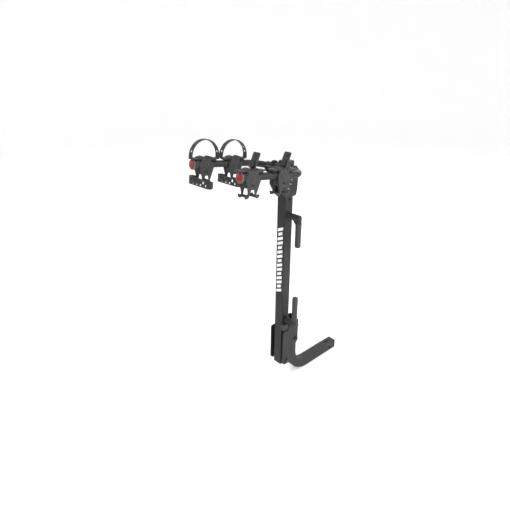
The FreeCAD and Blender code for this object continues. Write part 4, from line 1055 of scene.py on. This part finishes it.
def make_buckle(name):
    """Plate round the arm with a thick rim and a tongue that runs down between the skirts."""
    face = BUCKLE_FACE
    parts = [packed_core(name + "_buckle", cradle_frame(name))]
    parts += rail_of([(-0.0128, face, 0.018), (-0.0158, face, -0.010), (-0.0128, face, -0.016),
                      (-0.0125, face, -0.024), (-0.008, face, -0.0315), (0.008, face, -0.0315),
                      (0.0125, face, -0.024), (0.0128, face, -0.016), (0.0158, face, -0.010),
                      (0.0128, face, 0.018)], 0.0015)
    parts += rail_of([(-0.006, face, -0.026), (0.006, face, -0.026)], 0.0014)
    parts += rail_of([(-0.007, face, -0.021), (0.007, face, -0.021)], 0.0014)
    make_piece(name + "_buckle_plate", moulded(parts, BUCKLE_GRAIN, 2), name, "moulded_nylon",
               moulded_nylon, [name + "_buckle"], cradle_frame(name), sharp=70, clean=False)


for cradle in CRADLES[2:]:
    make_tail_strap(cradle)
    make_buckle(cradle)

# ---------------------------------------------------------------- clamp screws, studs and knobs
# A cross screw under the arm clamps each cradle. The strap's stud on the right hand cradles and
# the knob on the left hand ones are moulded rubber buttons with a dished head.
SCREW_LEVEL = -0.027
SCREW_RADIUS = 0.0029
SCREW_HEAD = SKIRT_FACE + 0.0004


def pan_head():
    """Screw head about X with a hexagon socket."""
    dome = turned([(0.0026, 0.0012), (0.0026, 0.0034), (0.0034, 0.0036), (0.0046, 0.0026),
                   (0.0050, 0.0010), (0.0050, 0.0)], 32)
    floor = bmesh.new()
    bmesh.ops.create_circle(floor, cap_ends=True, segments=6, radius=0.0027)
    bmesh.ops.translate(floor, vec=(0, 0, 0.0012), verts=floor.verts)
    return placed(joined([dome, floor]), ALONG_X)


def button(radius, length):
    """Dished head on a waisted stem, about Z."""
    r = radius
    return turned([(r * 0.80, 0.0), (r * 0.74, length * 0.25), (r * 0.78, length * 0.45),
                   (r, length * 0.58), (r, length * 0.85), (r * 0.90, length),
                   (r * 0.62, length), (r * 0.52, length * 0.86), (0, length * 0.86)], 40)


for cradle in CRADLES:
    heads = [placed(pan_head(), Matrix.Translation((SCREW_HEAD, 0, SCREW_LEVEL))),
             placed(mirrored_x(pan_head()), Matrix.Translation((-SCREW_HEAD, 0, SCREW_LEVEL)))]
    heads.append(bar((-SKIRT_FACE, 0, SCREW_LEVEL), (SKIRT_FACE, 0, SCREW_LEVEL), SCREW_RADIUS))
    make_piece(cradle + "_clamp_screw", joined(heads), cradle, "black_zinc", black_zinc,
               [cradle + "_hardware"], cradle_frame(cradle))
    if cradle.startswith("right"):
        stud = placed(button(0.0090, 0.0095), TAIL_FRAME @ Matrix.Translation((0, 0.0005, 0.0105))
                      @ OUTWARD)
    else:
        stud = placed(button(0.0042, 0.0110), Matrix.Translation((0.016, 0, RAIL_TOP)))
    make_piece(cradle + "_stud", stud, cradle, "strap_rubber", strap_rubber, (),
               cradle_frame(cradle))

# ---------------------------------------------------------------- mast decal
# A row of plain slanted bars in white vinyl runs down the rear face of the mast. The film is
# thin, so its edges stand a little proud of the coat.
DECAL_LOW, DECAL_HIGH = 0.512, 0.846
DECAL_WIDTH = 0.033
DECAL_THICK = 0.0002
white_vinyl = grained("white_vinyl", (0.80, 0.80, 0.79), 0.36, 900.0, 0.00002, tone=0.05,
                      rub=(0.5, 0.5, 0.5), rub_share=0.3)
BAR_COUNT = 15
BAR_SHARE = 0.64
BAR_SLANT = 0.42
BAR_INSET = 0.004


def make_decal():
    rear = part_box("mast_tube")[0].y
    pitch = (DECAL_HIGH - DECAL_LOW) / BAR_COUNT
    bars = []
    for number in range(BAR_COUNT):
        low = DECAL_LOW + number * pitch
        inset = BAR_INSET if number % 3 == 1 else 0.0
        film = block((-DECAL_WIDTH / 2 + inset, rear - DECAL_THICK, low),
                     (DECAL_WIDTH / 2 - inset, rear, low + pitch * BAR_SHARE))
        for vert in film.verts:
            vert.co.z += BAR_SLANT * vert.co.x
        bars.append(film)
    make_piece("mast_decal", joined(bars), "mast", None, white_vinyl)


make_decal()
